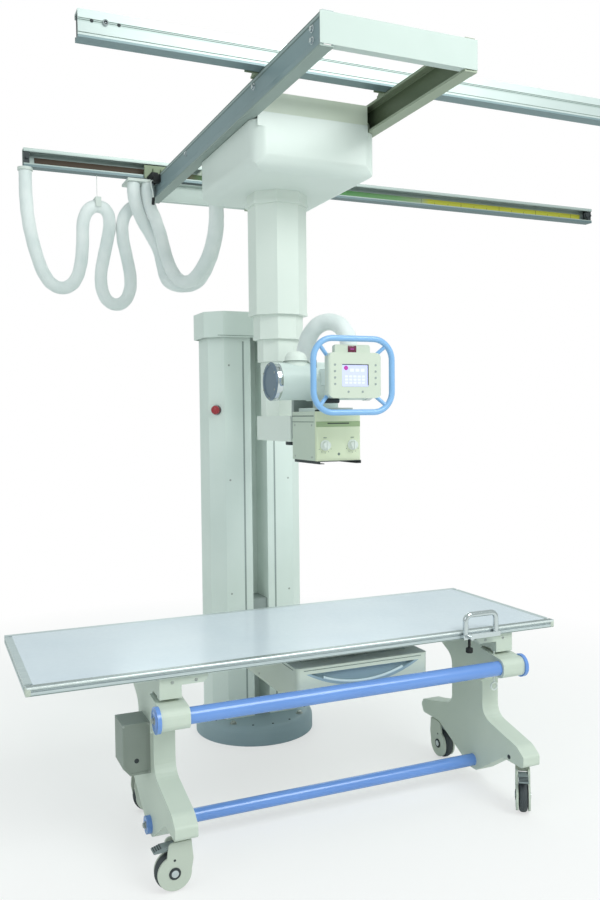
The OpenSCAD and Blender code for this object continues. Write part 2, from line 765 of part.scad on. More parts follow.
module stand_cap() {
    y = (stand_front + stand_back) / 2;
    o = 2 * cap_over;
    color(cream) translate([0, y, stand_h - cap_h]) difference() {
        linear_extrude(cap_h) stand_outline(stand_w + o, stand_d + o, chamfer + cap_lean);
        translate([0, 0, -1]) linear_extrude(cap_h - (stand_h - stand_body_h) + 1)
            stand_outline(stand_w + o - 2 * wall, stand_d + o - 2 * wall, chamfer + cap_lean - wall * corner);
    }
}

// Fixed collar of the emergency stop on the left front chamfer
module stop_collar() {
    color("#D8D8D0") on_chamfer() difference() {
        cylinder(r = stop_r + 4, h = 3);
        translate([0, 0, -1]) cylinder(r = stem_r + shaft_fit, h = 5);
    }
}

// Mushroom head on its stem; it presses in by stop_travel
module stop_button() {
    color("#C0303A") on_chamfer() rotate_extrude() polygon([[0, -10], [stem_r, -10], [stem_r, 3 + stop_travel + 1],
        [stop_r, 3 + stop_travel + 2], [stop_r, 18], [stop_r - 2, 22], [stop_r - 8, 26], [0, 28]]);
}

module on_chamfer() {
    translate([-stand_w / 2 + chamfer / 2, stand_front + chamfer / 2, stop_z]) rotate([90, 0, -45]) children();
}

// ---------- detector ----------

// Slide in the stand's slot with its arm; the arm's front ends in the tilt pin
module detector_slide() {
    half = slot_w / 2 - clear;
    color(steel_grey) {
        span([-half, stand_front + 20, pivot_z - 160], [half, stand_front + slot_d - clear, pivot_z + 110]);
        span([-half, pivot_y + 32, pivot_z - 34], [half, stand_front + 21, pivot_z + 34]);
        along_x(-half, 2 * half) polygon([[pivot_y + 60, pivot_z - 33], [stand_front + 21, pivot_z - 120],
                                          [stand_front + 21, pivot_z - 33]]);
        along_x(-26, 52) polygon([[pivot_y, pivot_z - 22], [pivot_y + 33, pivot_z - 34],
                                  [pivot_y + 33, pivot_z + 34], [pivot_y, pivot_z + 22]]);
        translate([-26, pivot_y, pivot_z]) rotate([0, 90, 0]) cylinder(r = 22, h = 52);
        translate([-66, pivot_y, pivot_z]) rotate([0, 90, 0]) cylinder(r = 12, h = 132);
    }
}

module detector_housing() {
    y1 = det_front + det_d;
    color(cream) difference() {
        union() {
            translate([det_x, det_front + det_d / 2, det_z + det_h]) tub(det_w, det_d, det_h, 18, 22);
            for (s = [-1, 1]) along_x(s > 0 ? 27 : -61, 34)
                polygon(concat([[y1 - 2, pivot_z - 40], [y1 - 2, pivot_z + 40]],
                    [for (t = [90:-15:-90]) [pivot_y + 28 * cos(t), pivot_z + 28 * sin(t)]]));
        }
        translate([-70, pivot_y, pivot_z]) rotate([0, 90, 0]) cylinder(r = 12 + shaft_fit, h = 140);
        handle_recess(0);
    }
}

// Crescent recess in the front: straight upper edge, bowed lower edge
module handle_recess(grow) {
    w = 0.86 * det_w;
    sag = 64;
    r = (w * w / 4 + sag * sag) / 2 / sag;
    along_y(det_front - 1, 29 + grow) intersection() {
        translate([det_x, det_z + det_h - 24 - sag + r]) circle(r, $fn = 180);
        translate([det_x - w / 2, det_z + det_h - 24 - sag - 1]) square([w, sag + 1]);
    }
}

module detector_handle() {
    color("#9DB6C2") difference() {
        handle_recess(0);
        translate([0, -9, 10]) handle_recess(0);
        span([0, det_front - 2, det_z] - [det_w, 0, 0], [det_w, det_front, det_z + det_h]);
    }
}

// ---------- table ----------

module table_top() {
    color("#D5DFE6") span([top_x - top_len / 2 + 26, top_y - top_w / 2 + 26, table_h - panel_thick],
                          [top_x + top_len / 2 - 26, top_y + top_w / 2 - 26, table_h]);
}

// Aluminium edge section: flat top, a groove along the outer face, a lip under the panel
module edge_outline() {
    difference() {
        square([26, top_t]);
        translate([-1, 13]) square([6, 4]);
        translate([-1, -1]) square([5, 6]);
    }
    square([40, top_t - panel_thick]);
}

module top_profiles() {
    x = top_len / 2;
    y = top_w / 2;
    color(alu) translate([top_x, top_y, table_h - top_t]) {
        for (s = [0, 1]) mirror([0, s, 0]) translate([0, -y, 0]) along_x(-x, 2 * x) edge_outline();
        for (s = [0, 1]) mirror([s, 0, 0]) translate([-x, 0, 0]) along_y(-y + 40, 2 * y - 80) edge_outline();
    }
}

// Two long runners that carry the top along x and roll across the leg beams along y
module cross_slide() {
    z = beam_level + clear;
    color(steel_grey) {
        for (y = [-1010, -660]) along_x(frame_x - 740, 1480) translate([y, z]) difference() {
            square([46, slide_z - clear - z]);
            translate([8, -1]) square([30, 12]);
        }
        for (y = [-1010, -660], x = [-1, 1]) span([frame_x + x * 300 - 40, y, z + 4],
                                                  [frame_x + x * 300 + 40, y + 46, table_h - panel_thick - clear]);
        for (x = [-1, 1]) span([frame_x + x * 560 - 20, -965, z + 4], [frame_x + x * 560 + 20, -659, z + 16]);
    }
}

// A beam on each leg with the bracket that stands out in front, stepped towards the table's middle
module leg_beams() {
    h = leg_t / 2;
    color(cream) for (s = [0, 1]) translate([frame_x, 0, 0]) mirror([s, 0, 0])
        translate([-(leg_span - leg_t) / 2, 0, 0]) {
            span([-h, -1160, leg_top], [h, -560, beam_level]);
            along_y(-1195, 36) polygon([[-h, leg_top - 6], [h, leg_top - 6], [h, slide_z - 34],
                [h + 80, slide_z - 34], [h + 96, slide_z - 16], [h + 96, slide_z - 2], [-h, slide_z - 2]]);
        }
}

// Leg outline in (y, z), round corners
leg_points = [[-1100, leg_top, 0], [-1100, 305, 60], [-1326, 252, 60], [-1368, 222, 14], [-1368, 178, 14],
    [-1236, 178, 30], [-1056, 58, 34], [-1004, 58, 30], [-892, 116, 60], [-766, 178, 50], [-640, 178, 14],
    [-622, 214, 16], [-640, 240, 14], [-700, 250, 40], [-876, 290, 50], [-876, 500, 60], [-730, 575, 30],
    [-650, leg_top, 0]];

module leg(x) {
    color(cream) difference() {
        union() {
            along_x(x, leg_t) polygon(rounded(leg_points));
            along_x(x - 12, leg_t + 24) polygon(rounded([[-1100 + 1, 592, 0], [-1262, 574, 30], [-1262, 500, 30],
                [-1180, 500, 30], [-1100 + 1, 450, 0]]));
        }
        translate([x - 20, tube_front, upper_z]) rotate([0, 90, 0])
            cylinder(d = upper_d + 2 * shaft_fit, h = leg_t + 40);
        translate([x - 20, lower_y, lower_z]) rotate([0, 90, 0])
            cylinder(d = lower_d + 2 * shaft_fit, h = leg_t + 40);
        for (y = [caster_front, caster_rear])
            translate([x + leg_t / 2, y, caster_h]) cylinder(r = 9 + shaft_fit, h = 46);
    }
}

module left_leg() { leg(leg_left); }

module right_leg() { leg(leg_right - leg_t); }

module cross_tubes() {
    color(periwinkle) {
        translate([leg_left - 14, tube_front, upper_z]) rotate([0, 90, 0]) cylinder(d = upper_d, h = leg_span + 28);
        translate([leg_left - 2, lower_y, lower_z]) rotate([0, 90, 0]) cylinder(d = lower_d, h = leg_span + 4);
        for (x = [leg_left - 26, leg_right + 12]) translate([x, tube_front, upper_z]) rotate([0, 90, 0])
            cylinder(d = end_disc, h = 14);
        for (x = [leg_left - 18, leg_right]) translate([x, lower_y, lower_z]) rotate([0, 90, 0])
            cylinder(d = foot_disc, h = 18);
    }
}

module control_box() {
    x = leg_left;
    color("#8D938C") difference() {
        along_y(-1050, 125) polygon([[x, 290], [x, 475], [x - 99, 475], [x - 99, 320], [x - 73, 290]]);
        along_y(-1051, 4) polygon([[x - 8, 298], [x - 8, 464], [x - 91, 464], [x - 91, 323], [x - 70, 298]]);
    }
}

// Chrome grab bar with its edge clamp
module grab_handle() {
    y = top_y - top_w / 2;
    d = 22;
    r = 24;
    w = 143;
    x0 = 429;
    top = table_h + 66;
    color(alu) {
        for (s = [0, 1]) translate([x0 + s * w, y - 14, table_h - 20]) cylinder(d = d, h = 20 + top - table_h - r);
        for (s = [0, 1]) translate([x0 + w / 2, y - 14, top - r]) mirror([s, 0, 0])
            translate([w / 2 - r, 0, 0]) rotate([90, 0, 0]) rotate_extrude(angle = 90) translate([r, 0]) circle(d = d);
        translate([x0 + r, y - 14, top]) rotate([0, 90, 0]) cylinder(d = d, h = w - 2 * r);
        span([x0 - 15, y - 26, table_h - 28], [x0 + w + 15, y, table_h - 10]);
        translate([x0 + 10, y - 25, table_h - 19]) rotate([90, 0, 0]) cylinder(r = 8, h = 22);
    }
}

// ---------- casters ----------

module at_caster(side, y, turn) {
    x = side < 0 ? leg_left + leg_t / 2 : leg_right - leg_t / 2;
    translate([x, y, 0]) rotate([0, 0, turn]) children();
}

// Drawn with the stem on the origin's axis and the wheel trailing towards +y; the axle lies along x
module fork() {
    r = wheel_d / 2;
    color(cream) {
        cylinder_at(0, caster_h - 14, 22, 14 - clear);
        cylinder_at(0, caster_h - 1, 9, 44);
        for (s = [0, 1]) mirror([s, 0, 0]) along_x(19, 8) {
            translate([trail, r]) circle(r - 5);
            polygon(rounded([[-24, caster_h - 14, 4], [-30, r + 40, 40], [trail - r + 6, r, 0],
                [trail + r - 6, r, 0], [trail + r - 12, r + 30, 12], [trail + 26, r + 44, 10],
                [trail + 18, caster_h - 14, 16]]));
        }
        span([-27, -24, caster_h - 26], [27, 20, caster_h - 13]);
        translate([-27, trail, r]) rotate([0, 90, 0]) cylinder(d = axle_d, h = 54);
    }
}

module cylinder_at(x, z, r, h) { translate([x, 0, z]) cylinder(r = r, h = h); }

module wheel() {
    r = wheel_d / 2;
    color(dark) translate([-16, trail, r]) rotate([0, 90, 0]) rotate_extrude($fn = 64)
        polygon([[axle_d / 2 + shaft_fit, 0], [16, 0], [18, 5], [r - 20, 5], [r - 17, 1], [r - 6, 1], [r - 1, 7],
                 [r, 12], [r, 20], [r - 1, 25], [r - 6, 31], [r - 17, 31], [r - 20, 27], [18, 27], [16, 32],
                 [axle_d / 2 + shaft_fit, 32]]);
}

// Brake pedal between the fork's covers, on a pin above the wheel
module pedal() {
    z = caster_h - 30;
    half = 19 - 0.4;
    color(steel_grey) {
        along_x(-half, 2 * half) polygon(rounded([[pedal_y - 4, z - 5, 0], [pedal_y + 40, z - 12, 0],
            [pedal_y + pedal_len - 3, z - 13, 3], [pedal_y + pedal_len, z - 7, 3], [pedal_y + 40, z + 3, 8], [pedal_y - 4, z + 5, 0]]));
        translate([-half, pedal_y, z]) rotate([0, 90, 0]) cylinder(r = 6, h = 2 * half);
    }
}

front_left_turn = 90;
front_right_turn = 145;
rear_left_turn = -85;
rear_right_turn = 180;

module fork_front_left() { at_caster(-1, caster_front, front_left_turn) fork(); }
module fork_front_right() { at_caster(1, caster_front, front_right_turn) fork(); }
module fork_rear_left() { at_caster(-1, caster_rear, rear_left_turn) fork(); }
module fork_rear_right() { at_caster(1, caster_rear, rear_right_turn) fork(); }
module wheel_front_left() { at_caster(-1, caster_front, front_left_turn) wheel(); }
module wheel_front_right() { at_caster(1, caster_front, front_right_turn) wheel(); }
module wheel_rear_left() { at_caster(-1, caster_rear, rear_left_turn) wheel(); }
module wheel_rear_right() { at_caster(1, caster_rear, rear_right_turn) wheel(); }
module pedal_front_left() { at_caster(-1, caster_front, front_left_turn) pedal(); }
module pedal_front_right() { at_caster(1, caster_front, front_right_turn) pedal(); }
module pedal_rear_left() { at_caster(-1, caster_rear, rear_left_turn) pedal(); }
module pedal_rear_right() { at_caster(1, caster_rear, rear_right_turn) pedal(); }

near_rail();
far_rail();
rail_end_stops();
scale_strip();
left_beam();
right_beam();
bridge_end_covers();
bridge_trolleys();
carriage_frame();
carriage_cover();
column_outer();
column_middle();
column_inner();
swivel_head();
tube_mount();
tube_housing();
tube_end_caps();
cable_sockets();
head_hose();
collimator_body();
collimator_front();
accessory_rails();
collimator_knob_left();
collimator_knob_right();
panel_housing();
panel_screen();
panel_keys();
grip_ring();
supply_hose();
hose_fittings();
carriage_hoses();
stand_foot();
stand_column();
stand_cap();
stop_collar();
stop_button();
detector_slide();
detector_housing();
detector_handle();
table_top();
top_profiles();
cross_slide();
leg_beams();
left_leg();
right_leg();
cross_tubes();
control_box();
grab_handle();
fork_front_left();
fork_front_right();
fork_rear_left();
fork_rear_right();
wheel_front_left();
wheel_front_right();
wheel_rear_left();
wheel_rear_right();
pedal_front_left();
pedal_front_right();
pedal_rear_left();
pedal_rear_right();
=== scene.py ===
# %% [markdown]
# # A ceiling-hung x-ray machine, dressed in Blender
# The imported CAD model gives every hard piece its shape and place. This script adds what CAD leaves
# plain: paints, plastics and metals, the flexible hoses, the control panel's face, screws, seams
# and gaskets. Everything is in metres, in the CAD model's own frame.

# %% Setup
import json
import math

import bmesh
import bpy
from mathutils import Matrix, Vector


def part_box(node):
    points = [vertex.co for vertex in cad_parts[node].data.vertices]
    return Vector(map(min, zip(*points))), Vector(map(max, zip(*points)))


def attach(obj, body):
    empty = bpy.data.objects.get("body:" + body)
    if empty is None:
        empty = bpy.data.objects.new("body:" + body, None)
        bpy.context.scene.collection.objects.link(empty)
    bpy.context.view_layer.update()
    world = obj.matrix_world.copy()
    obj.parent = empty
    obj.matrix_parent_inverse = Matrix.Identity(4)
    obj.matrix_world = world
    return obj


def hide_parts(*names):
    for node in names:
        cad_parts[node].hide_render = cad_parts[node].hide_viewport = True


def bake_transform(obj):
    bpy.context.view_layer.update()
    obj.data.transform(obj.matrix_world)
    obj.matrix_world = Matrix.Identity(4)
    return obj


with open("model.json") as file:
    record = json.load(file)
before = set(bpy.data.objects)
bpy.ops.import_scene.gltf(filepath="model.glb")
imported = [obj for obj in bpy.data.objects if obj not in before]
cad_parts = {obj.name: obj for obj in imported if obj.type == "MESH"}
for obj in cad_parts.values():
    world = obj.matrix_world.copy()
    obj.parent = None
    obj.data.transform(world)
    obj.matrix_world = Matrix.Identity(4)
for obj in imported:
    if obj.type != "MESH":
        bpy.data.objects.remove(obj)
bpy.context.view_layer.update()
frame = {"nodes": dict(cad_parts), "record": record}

# %% [markdown]
# The camera stands at eye height, a good four metres in front of the stand and to its left, level
# enough that uprights stay upright. A 35 mm lens on a full-frame sensor gives that view.

# %% Camera
EYE = Vector((-1.515, -4.067, 1.561))
YAW, PITCH, ROLL = math.radians(23.647), math.radians(-2.329), math.radians(-0.595)
ahead = Vector((math.sin(YAW) * math.cos(PITCH), math.cos(YAW) * math.cos(PITCH), math.sin(PITCH)))
side = Vector((math.cos(YAW), -math.sin(YAW), 0))
up = side.cross(ahead)
right = side * math.cos(ROLL) + up * math.sin(ROLL)
top = up * math.cos(ROLL) - side * math.sin(ROLL)
bpy.ops.object.camera_add()
camera = bpy.context.object
camera.data.lens = 34.816
camera.data.sensor_width = 36
camera.data.clip_end = 100
camera.matrix_world = Matrix.Translation(EYE) @ Matrix((right, top, -ahead)).transposed().to_4x4()
bpy.context.scene.camera = camera
bpy.context.scene.view_settings.view_transform = "Standard"


# %% [markdown]
# Three kinds of helper are used all through: one that selects a single object, one that settles a
# finished piece at the origin with its place in its mesh, and one that joins a piece's parts and
# ties it to a CAD body and to the material slot it belongs to.

# %% Helpers for selecting and finishing
def only(obj):
    """Leaves obj alone selected and active, in object mode."""
    if bpy.context.mode != "OBJECT":
        bpy.ops.object.mode_set(mode="OBJECT")
    bpy.ops.object.select_all(action="DESELECT")
    obj.select_set(True)
    bpy.context.view_layer.objects.active = obj
    return obj


def apply_all(obj):
    """Applies obj's modifiers, then its place, turn and size."""
    only(obj)
    for m in list(obj.modifiers):
        bpy.ops.object.modifier_apply(modifier=m.name)
    bpy.ops.object.transform_apply(location=True, rotation=True, scale=True)
    return obj


def fit_out(piece, name, body, material):
    """Names a finished piece, or a list of parts that it joins, paints it and ties it to its body."""
    obj = apply_all(join(piece) if isinstance(piece, list) else piece)
    obj.name = obj.data.name = name
    obj.data.materials.clear()
    obj.data.materials.append(material)
    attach(obj, body)
    print(name, len(obj.data.polygons), "faces on", body)
    return obj


def pick(obj, test):
    """In edit mode, selects the faces that pass the test and no others."""
    mesh = bmesh.from_edit_mesh(obj.data)
    bpy.ops.mesh.select_all(action="DESELECT")
    for f in mesh.faces:
        if test(f):
            f.select_set(True)
    bmesh.update_edit_mesh(obj.data)


def soften(obj, width, segments=2, angle=30):
    """Rounds the edges that are sharper than the angle."""
    bevel = obj.modifiers.new("soft_edges", "BEVEL")
    bevel.width, bevel.segments, bevel.limit_method = width, segments, "ANGLE"
    bevel.angle_limit = math.radians(angle)
    bevel.harden_normals = False
    apply_all(obj)
    bpy.ops.object.shade_smooth_by_angle(angle=math.radians(40))
    return obj


def block(low, high, bevel=0.0, segments=2):
    """A box between two corners with softened edges."""
    low, high = Vector(low), Vector(high)
    bpy.ops.object.select_all(action="DESELECT")
    bpy.ops.mesh.primitive_cube_add(size=1, location=(low + high) / 2)
    obj = bpy.context.object
    obj.scale = high - low
    apply_all(obj)
    return soften(obj, bevel, segments) if bevel else obj


def rod(start, end, radius, bevel=0.0, sides=32):
    """A round bar from start to end with softened ends."""
    start, end = Vector(start), Vector(end)
    bpy.ops.object.select_all(action="DESELECT")
    bpy.ops.mesh.primitive_cylinder_add(
        vertices=sides, radius=radius, depth=(end - start).length, location=(start + end) / 2
    )
    obj = bpy.context.object
    obj.rotation_mode = "QUATERNION"
    obj.rotation_quaternion = (end - start).to_track_quat("Z", "Y")
    apply_all(obj)
    if bevel:
        return soften(obj, bevel)
    bpy.ops.object.shade_smooth_by_angle(angle=math.radians(40))
    return obj


def join(objects):
    """Makes one object of several."""
    only(objects[0])
    for o in objects:
        o.select_set(True)
    bpy.ops.object.join()
    return bpy.context.object


def copies(master, places):
    """Copies of a master drawn at the origin with its face towards +Z, each with its own mesh, at
    (point, outward direction) or (point, outward direction, size). The master is removed."""
    made = []
    for place in places:
        point, out = Vector(place[0]), Vector(place[1])
        only(master)
        bpy.ops.object.duplicate()
        obj = bpy.context.object
        obj.rotation_mode = "QUATERNION"
        obj.rotation_quaternion = out.to_track_quat("Z", "Y")
        obj.location = point
        if len(place) > 2:
            obj.scale = (place[2],) * 3
        apply_all(obj)
        made.append(obj)
    only(master)
    bpy.ops.object.delete()
    return join(made)


# %% [markdown]
# Colours are written as the hex values that a painter would match by eye and turned to linear
# light in one place. A small function adds a shader node with its settings and its links.

# %% Helpers for colour and shaders
def colour(hex_value):
    """An sRGB hex value as linear red, green, blue and alpha."""
    parts = [int(hex_value[i : i + 2], 16) / 255 for i in (1, 3, 5)]
    return [c / 12.92 if c <= 0.04045 else ((c + 0.055) / 1.055) ** 2.4 for c in parts] + [1.0]


def add(tree, kind, settings=None, **inputs):
    """A shader node of that kind. settings are its own properties, inputs its sockets by name with
    _ for a space, each a value or another node's output."""
    node = tree.nodes.new(kind)
    for key, value in (settings or {}).items():
        setattr(node, key, value)
    for key, value in inputs.items():
        socket = node.inputs[key.replace("_", " ")]
        if isinstance(value, bpy.types.NodeSocket):
            tree.links.new(value, socket)
        else:
            socket.default_value = value
    return node


def start_material(name, **settings):
    """A new material, its tree, its main shader and its Object coordinates. settings are the
    shader's sockets that are the same all over, by name with _ for a space."""
    material = bpy.data.materials.new(name)
    material.use_nodes = True
    tree = material.node_tree
    shader = tree.nodes["Principled BSDF"]
    for key, value in settings.items():
        shader.inputs[key.replace("_", " ")].default_value = value
    where = add(tree, "ShaderNodeTexCoord").outputs["Object"]
    return material, tree, shader, where


def ramp(tree, factor, stops, blend="LINEAR"):
    """A colour ramp through (place, hex) stops, which runs smoothly or, as CONSTANT, in steps."""
    node = add(tree, "ShaderNodeValToRGB", Fac=factor)
    node.color_ramp.interpolation = blend
    while len(node.color_ramp.elements) < len(stops):
        node.color_ramp.elements.new(0.5)
    for element, (place, shade) in zip(node.color_ramp.elements, stops):
        element.position, element.color = place, colour(shade)
    return node.outputs["Color"]


def paint(name, base, roughness, grain=0.006, depth=0.25, shade=None, metallic=0.0, coat=0.0):
    """A sprayed or moulded surface: one colour with a faint cloud of a second, and a fine grain
    that breaks up its gloss. grain is the real size of a bump in metres."""
    material, tree, shader, where = start_material(
        name, Metallic=metallic, Coat_Weight=coat, Coat_Roughness=0.12)
    cloud = add(tree, "ShaderNodeTexNoise", Vector=where, Scale=3.0, Detail=3.0)
    tint = ramp(tree, cloud.outputs["Fac"], [(0.35, base), (0.75, shade or base)])
    tree.links.new(tint, shader.inputs["Base Color"])
    fine = add(tree, "ShaderNodeTexNoise", Vector=where, Scale=1 / grain, Detail=2.0)
    rough = add(tree, "ShaderNodeMapRange", Value=fine.outputs["Fac"], To_Min=roughness - 0.05,
                To_Max=roughness + 0.07)
    tree.links.new(rough.outputs["Result"], shader.inputs["Roughness"])
    bump = add(tree, "ShaderNodeBump", Strength=depth, Distance=0.0004, Height=fine.outputs["Fac"])
    tree.links.new(bump.outputs["Normal"], shader.inputs["Normal"])
    return material


def extruded(name, base, shade, roughness, along=(1, 60, 60), metallic=0.75):
    """Metal drawn or brushed in one direction: streaks that are long one way and thin the other."""
    material, tree, shader, where = start_material(name, Metallic=metallic)
    stretched = add(tree, "ShaderNodeMapping", Vector=where, Scale=along).outputs["Vector"]
    streak = add(tree, "ShaderNodeTexNoise", Vector=stretched, Scale=4.0, Detail=4.0)
    tint = ramp(tree, streak.outputs["Fac"], [(0.3, base), (0.7, shade)])
    tree.links.new(tint, shader.inputs["Base Color"])
    rough = add(tree, "ShaderNodeMapRange", Value=streak.outputs["Fac"], To_Min=roughness - 0.06,
                To_Max=roughness + 0.1)
    tree.links.new(rough.outputs["Result"], shader.inputs["Roughness"])
    return material


# %% [markdown]
# ## Finishes
# Most of the machine is steel and aluminium under powder coat, a baked paint with a satin face
# and a very slight texture like orange peel. Real peel is about a millimetre across, too fine to
# show from four metres, so it is drawn as five to eight millimetres and very shallow.

# %% Paints and plastics
white_coat = paint("powder_coat_white", "#DCE6E3", 0.42, shade="#D5E0DC")
cream_coat = paint("powder_coat_cream", "#ECF1EB", 0.40, shade="#E5ECE5")
stand_coat = paint("powder_coat_stand_cream", "#E8F0EB", 0.40, shade="#DFE9E3")
# The legs' cream is painted darker than the stand's, for the shade they stand in under the table top.
leg_cream_shaded = paint("powder_coat_leg_cream_painted_shade", "#D6DDD1", 0.42, shade="#CDD5C9")
sage_coat = paint("galvanised_sage", "#8E9A80", 0.48, shade="#7F8B73", metallic=0.2)
foot_coat = paint("powder_coat_foot_grey", "#A0B3BC", 0.40, shade="#95A9B3")
slide_coat = paint("powder_coat_mid_grey", "#A2ABA9", 0.45, shade="#98A2A0")
cover_plastic = paint("moulded_abs_white", "#EAF0EC", 0.34, shade="#E4EBE6", coat=0.15)
side_coat = paint("powder_coat_grey_green", "#D3DCCE", 0.42, shade="#C9D4C5")
front_plastic = paint("moulded_abs_cream", "#DAE0D2", 0.36, shade="#D3DACB", coat=0.1)
# The end caps' dark blue-grey paints the dark reflection in their chrome.
cap_reflection_paint = paint("cap_painted_dark_reflection", "#788898", 0.38, shade="#6F7F90", metallic=0.3)
knob_plastic = paint("moulded_ivory", "#E6EBE6", 0.35)
collimator_plastic = paint("moulded_pale_green", "#E2E9CE", 0.38, shade="#DAE2C4")
sky_plastic = paint("pvc_sky_blue", "#93C1F1", 0.30, shade="#8AB9EC", coat=0.3)
stop_plastic = paint("moulded_signal_red", "#A82530", 0.25, coat=0.4)
key_plastic = paint("membrane_grey", "#9FA9A8", 0.5)
fitting_plastic = paint("nylon_light_grey", "#D9DFDA", 0.5)
recess_plastic = paint("moulded_blue_grey", "#9FB5C0", 0.45, shade="#93A9B5")
laminate = paint("high_pressure_laminate", "#E3E9F4", 0.22, grain=0.02, depth=0.1, shade="#DAE2EF",
                 coat=0.25)
tube_enamel = paint("enamel_periwinkle", "#759FE8", 0.22, shade="#6C96DF", coat=0.5)
box_coat = paint("powder_coat_box_grey", "#9DA39B", 0.48, shade="#929A92")
# The casters' cream is painted darker for the shade they stand in under the table. The table's end plugs
# share it.
caster_cream_shaded = paint("nylon_cream_painted_shade", "#C8CEC2", 0.42)
tread_rubber = paint("rubber_tread", "#41464A", 0.62, depth=0.4)
pedal_plastic = paint("nylon_grey", "#7F898B", 0.5)
dark_plate = paint("steel_blackened", "#3A3F42", 0.5, metallic=0.3)
black_rubber = paint("rubber_black", "#1C1E20", 0.7)
# This dark grey is painted shade in grooves and gaps, and the own colour of seams, joints and printed marks.
shade_seam_print_grey = paint("groove_shade_seams_and_print", "#74827C", 0.6)
end_cover_coat = paint("powder_coat_end_cover", "#C9D3CF", 0.42, shade="#C2CDC8")
frame_coat = paint("galvanised_carriage_frame", "#E4EADC", 0.45, shade="#D3DBC8")
pale_yellow = paint("printed_pale_yellow", "#E6EAC4", 0.45)
bar_plastic = paint("moulded_pale_blue", "#D3E2E6", 0.4)
band_green = paint("printed_green_band", "#A6BA90", 0.45)
maroon_plastic = paint("infrared_window_maroon", "#6E2A44", 0.2, coat=0.4)
cord_nylon = paint("nylon_cord_white", "#EEF2EE", 0.6)

# %% Bare metals
edge_metal = extruded("anodised_aluminium_edge", "#D3DADC", "#C0C9CD", 0.34, metallic=0.35)
strip_metal = extruded("brushed_steel", "#B9BFBF", "#9EA6A8", 0.32, along=(40, 40, 2), metallic=0.8)
chrome = paint("polished_chrome", "#D5D9DC", 0.12, depth=0.02, metallic=1.0)
screw_zinc = paint("zinc_plated_screw", "#B4B8B4", 0.35, metallic=0.8)
# The bead's metal is painted lighter than the edge it belongs to, a painted highlight along its rounding.
bead_highlight_metal = paint("anodised_bead_painted_highlight", "#F2F6F6", 0.2, metallic=0.5)

# %% [markdown]
# The position tape glued into the far rail is printed plastic and runs from brown
# through green to yellow. It could be three strips, but one ramp along X keeps it a single piece.

# %% Position tape
tape, tree, shader, where = start_material("printed_position_tape", Roughness=0.55)
along = add(tree, "ShaderNodeSeparateXYZ", Vector=where).outputs["X"]
place = add(tree, "ShaderNodeMapRange", Value=along, From_Min=-1.0, From_Max=2.8)
bands = [(0.0, "#4A3524"), (0.24, "#54402A"), (0.27, "#5E8F5A"), (0.50, "#5B9A58"), (0.60, "#79A86E"),
         (0.645, "#A3B08A"), (0.66, "#C4C23A"), (1.0, "#C9C640")]
tree.links.new(ramp(tree, place.outputs["Result"], bands), shader.inputs["Base Color"])

# %% [markdown]
# An extrusion catches the light differently on each of its faces. The lower flange of a rail or a
# beam is seen from under and reads as a second, greyer or paler band, so these four finishes
# change colour at the heights where a flange starts.

# %% Flanged finishes
def banded(name, bands, roughness, metallic=0.3):
    """Metal whose colour changes at given heights: (height in metres, hex) steps, each colour
    running from its height to the next."""
    material, tree, shader, where = start_material(name, Roughness=roughness, Metallic=metallic)
    low, high = bands[0][0], bands[-1][0]
    height = add(tree, "ShaderNodeSeparateXYZ", Vector=where).outputs["Z"]
    place = add(tree, "ShaderNodeMapRange", Value=height, From_Min=low, From_Max=high)
    stops = [((at - low) / (high - low), shade) for at, shade in bands]
    flange = ramp(tree, place.outputs["Result"], stops, "CONSTANT")
    streak = add(tree, "ShaderNodeTexNoise", Vector=where, Scale=9.0, Detail=3.0)
    dim = add(tree, "ShaderNodeMapRange", Value=streak.outputs["Fac"], To_Min=0.94, To_Max=1.04)
    streaked = add(tree, "ShaderNodeVectorMath", {"operation": "SCALE"}, Vector=flange,
                   Scale=dim.outputs["Result"])
    tree.links.new(streaked.outputs[0], shader.inputs["Base Color"])
    return material


rail_bottom, rail_top = (corner.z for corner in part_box("near_rail"))
beam_bottom, beam_top = (corner.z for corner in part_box("left_beam"))
near_rail_metal = banded(
    "anodised_near_rail",
    [(rail_bottom, "#82959A"), (rail_bottom + 0.008, "#C3CCCB"), (rail_bottom + 0.052, "#B4C0BE"),
     (rail_bottom + 0.064, "#CDD6D5"), (rail_top, "#CDD6D5")], 0.38)
far_rail_metal = banded(
    "anodised_far_rail",
    [(rail_bottom, "#6F8186"), (rail_bottom + 0.012, "#A6B2AF"), (rail_top - 0.012, "#BCC6C3"),
     (rail_top, "#BCC6C3")], 0.38)
left_beam_coat = banded(
    "powder_coat_left_beam",
    [(beam_bottom, "#98A5A0"), (beam_bottom + 0.006, "#8A9DA2"), (beam_top - 0.012, "#A9B6B6"),
     (beam_top, "#A9B6B6")], 0.45, metallic=0.1)
right_beam_coat = banded(
    "powder_coat_right_beam",
    [(beam_bottom, "#A5AE9A"), (beam_bottom + 0.014, "#5F6B52"), (beam_top - 0.012, "#8C967F"),
     (beam_top, "#8C967F")], 0.45, metallic=0.1)

# %% [markdown]
# The touch screen is lit from behind, so its page and its marks give a little light of their
# own and hardly shade. A dark line along its top and right edge is painted shadow and gives no light.

# %% Lit screen
def lit(name, base, strength):
    """A backlit plastic that gives off its own colour."""
    return start_material(name, Base_Color=colour(base), Emission_Color=colour(base),
                          Emission_Strength=strength, Roughness=0.15)[0]


screen_page = lit("backlit_screen_page", "#BFC3F0", 0.45)
tile_light = lit("backlit_screen_tile", "#D3D6F6", 0.45)
magenta_light = lit("backlit_magenta", "#B0409A", 0.35)
screen_shadow_paint = lit("screen_painted_shadow_line", "#3D4152", 0.0)

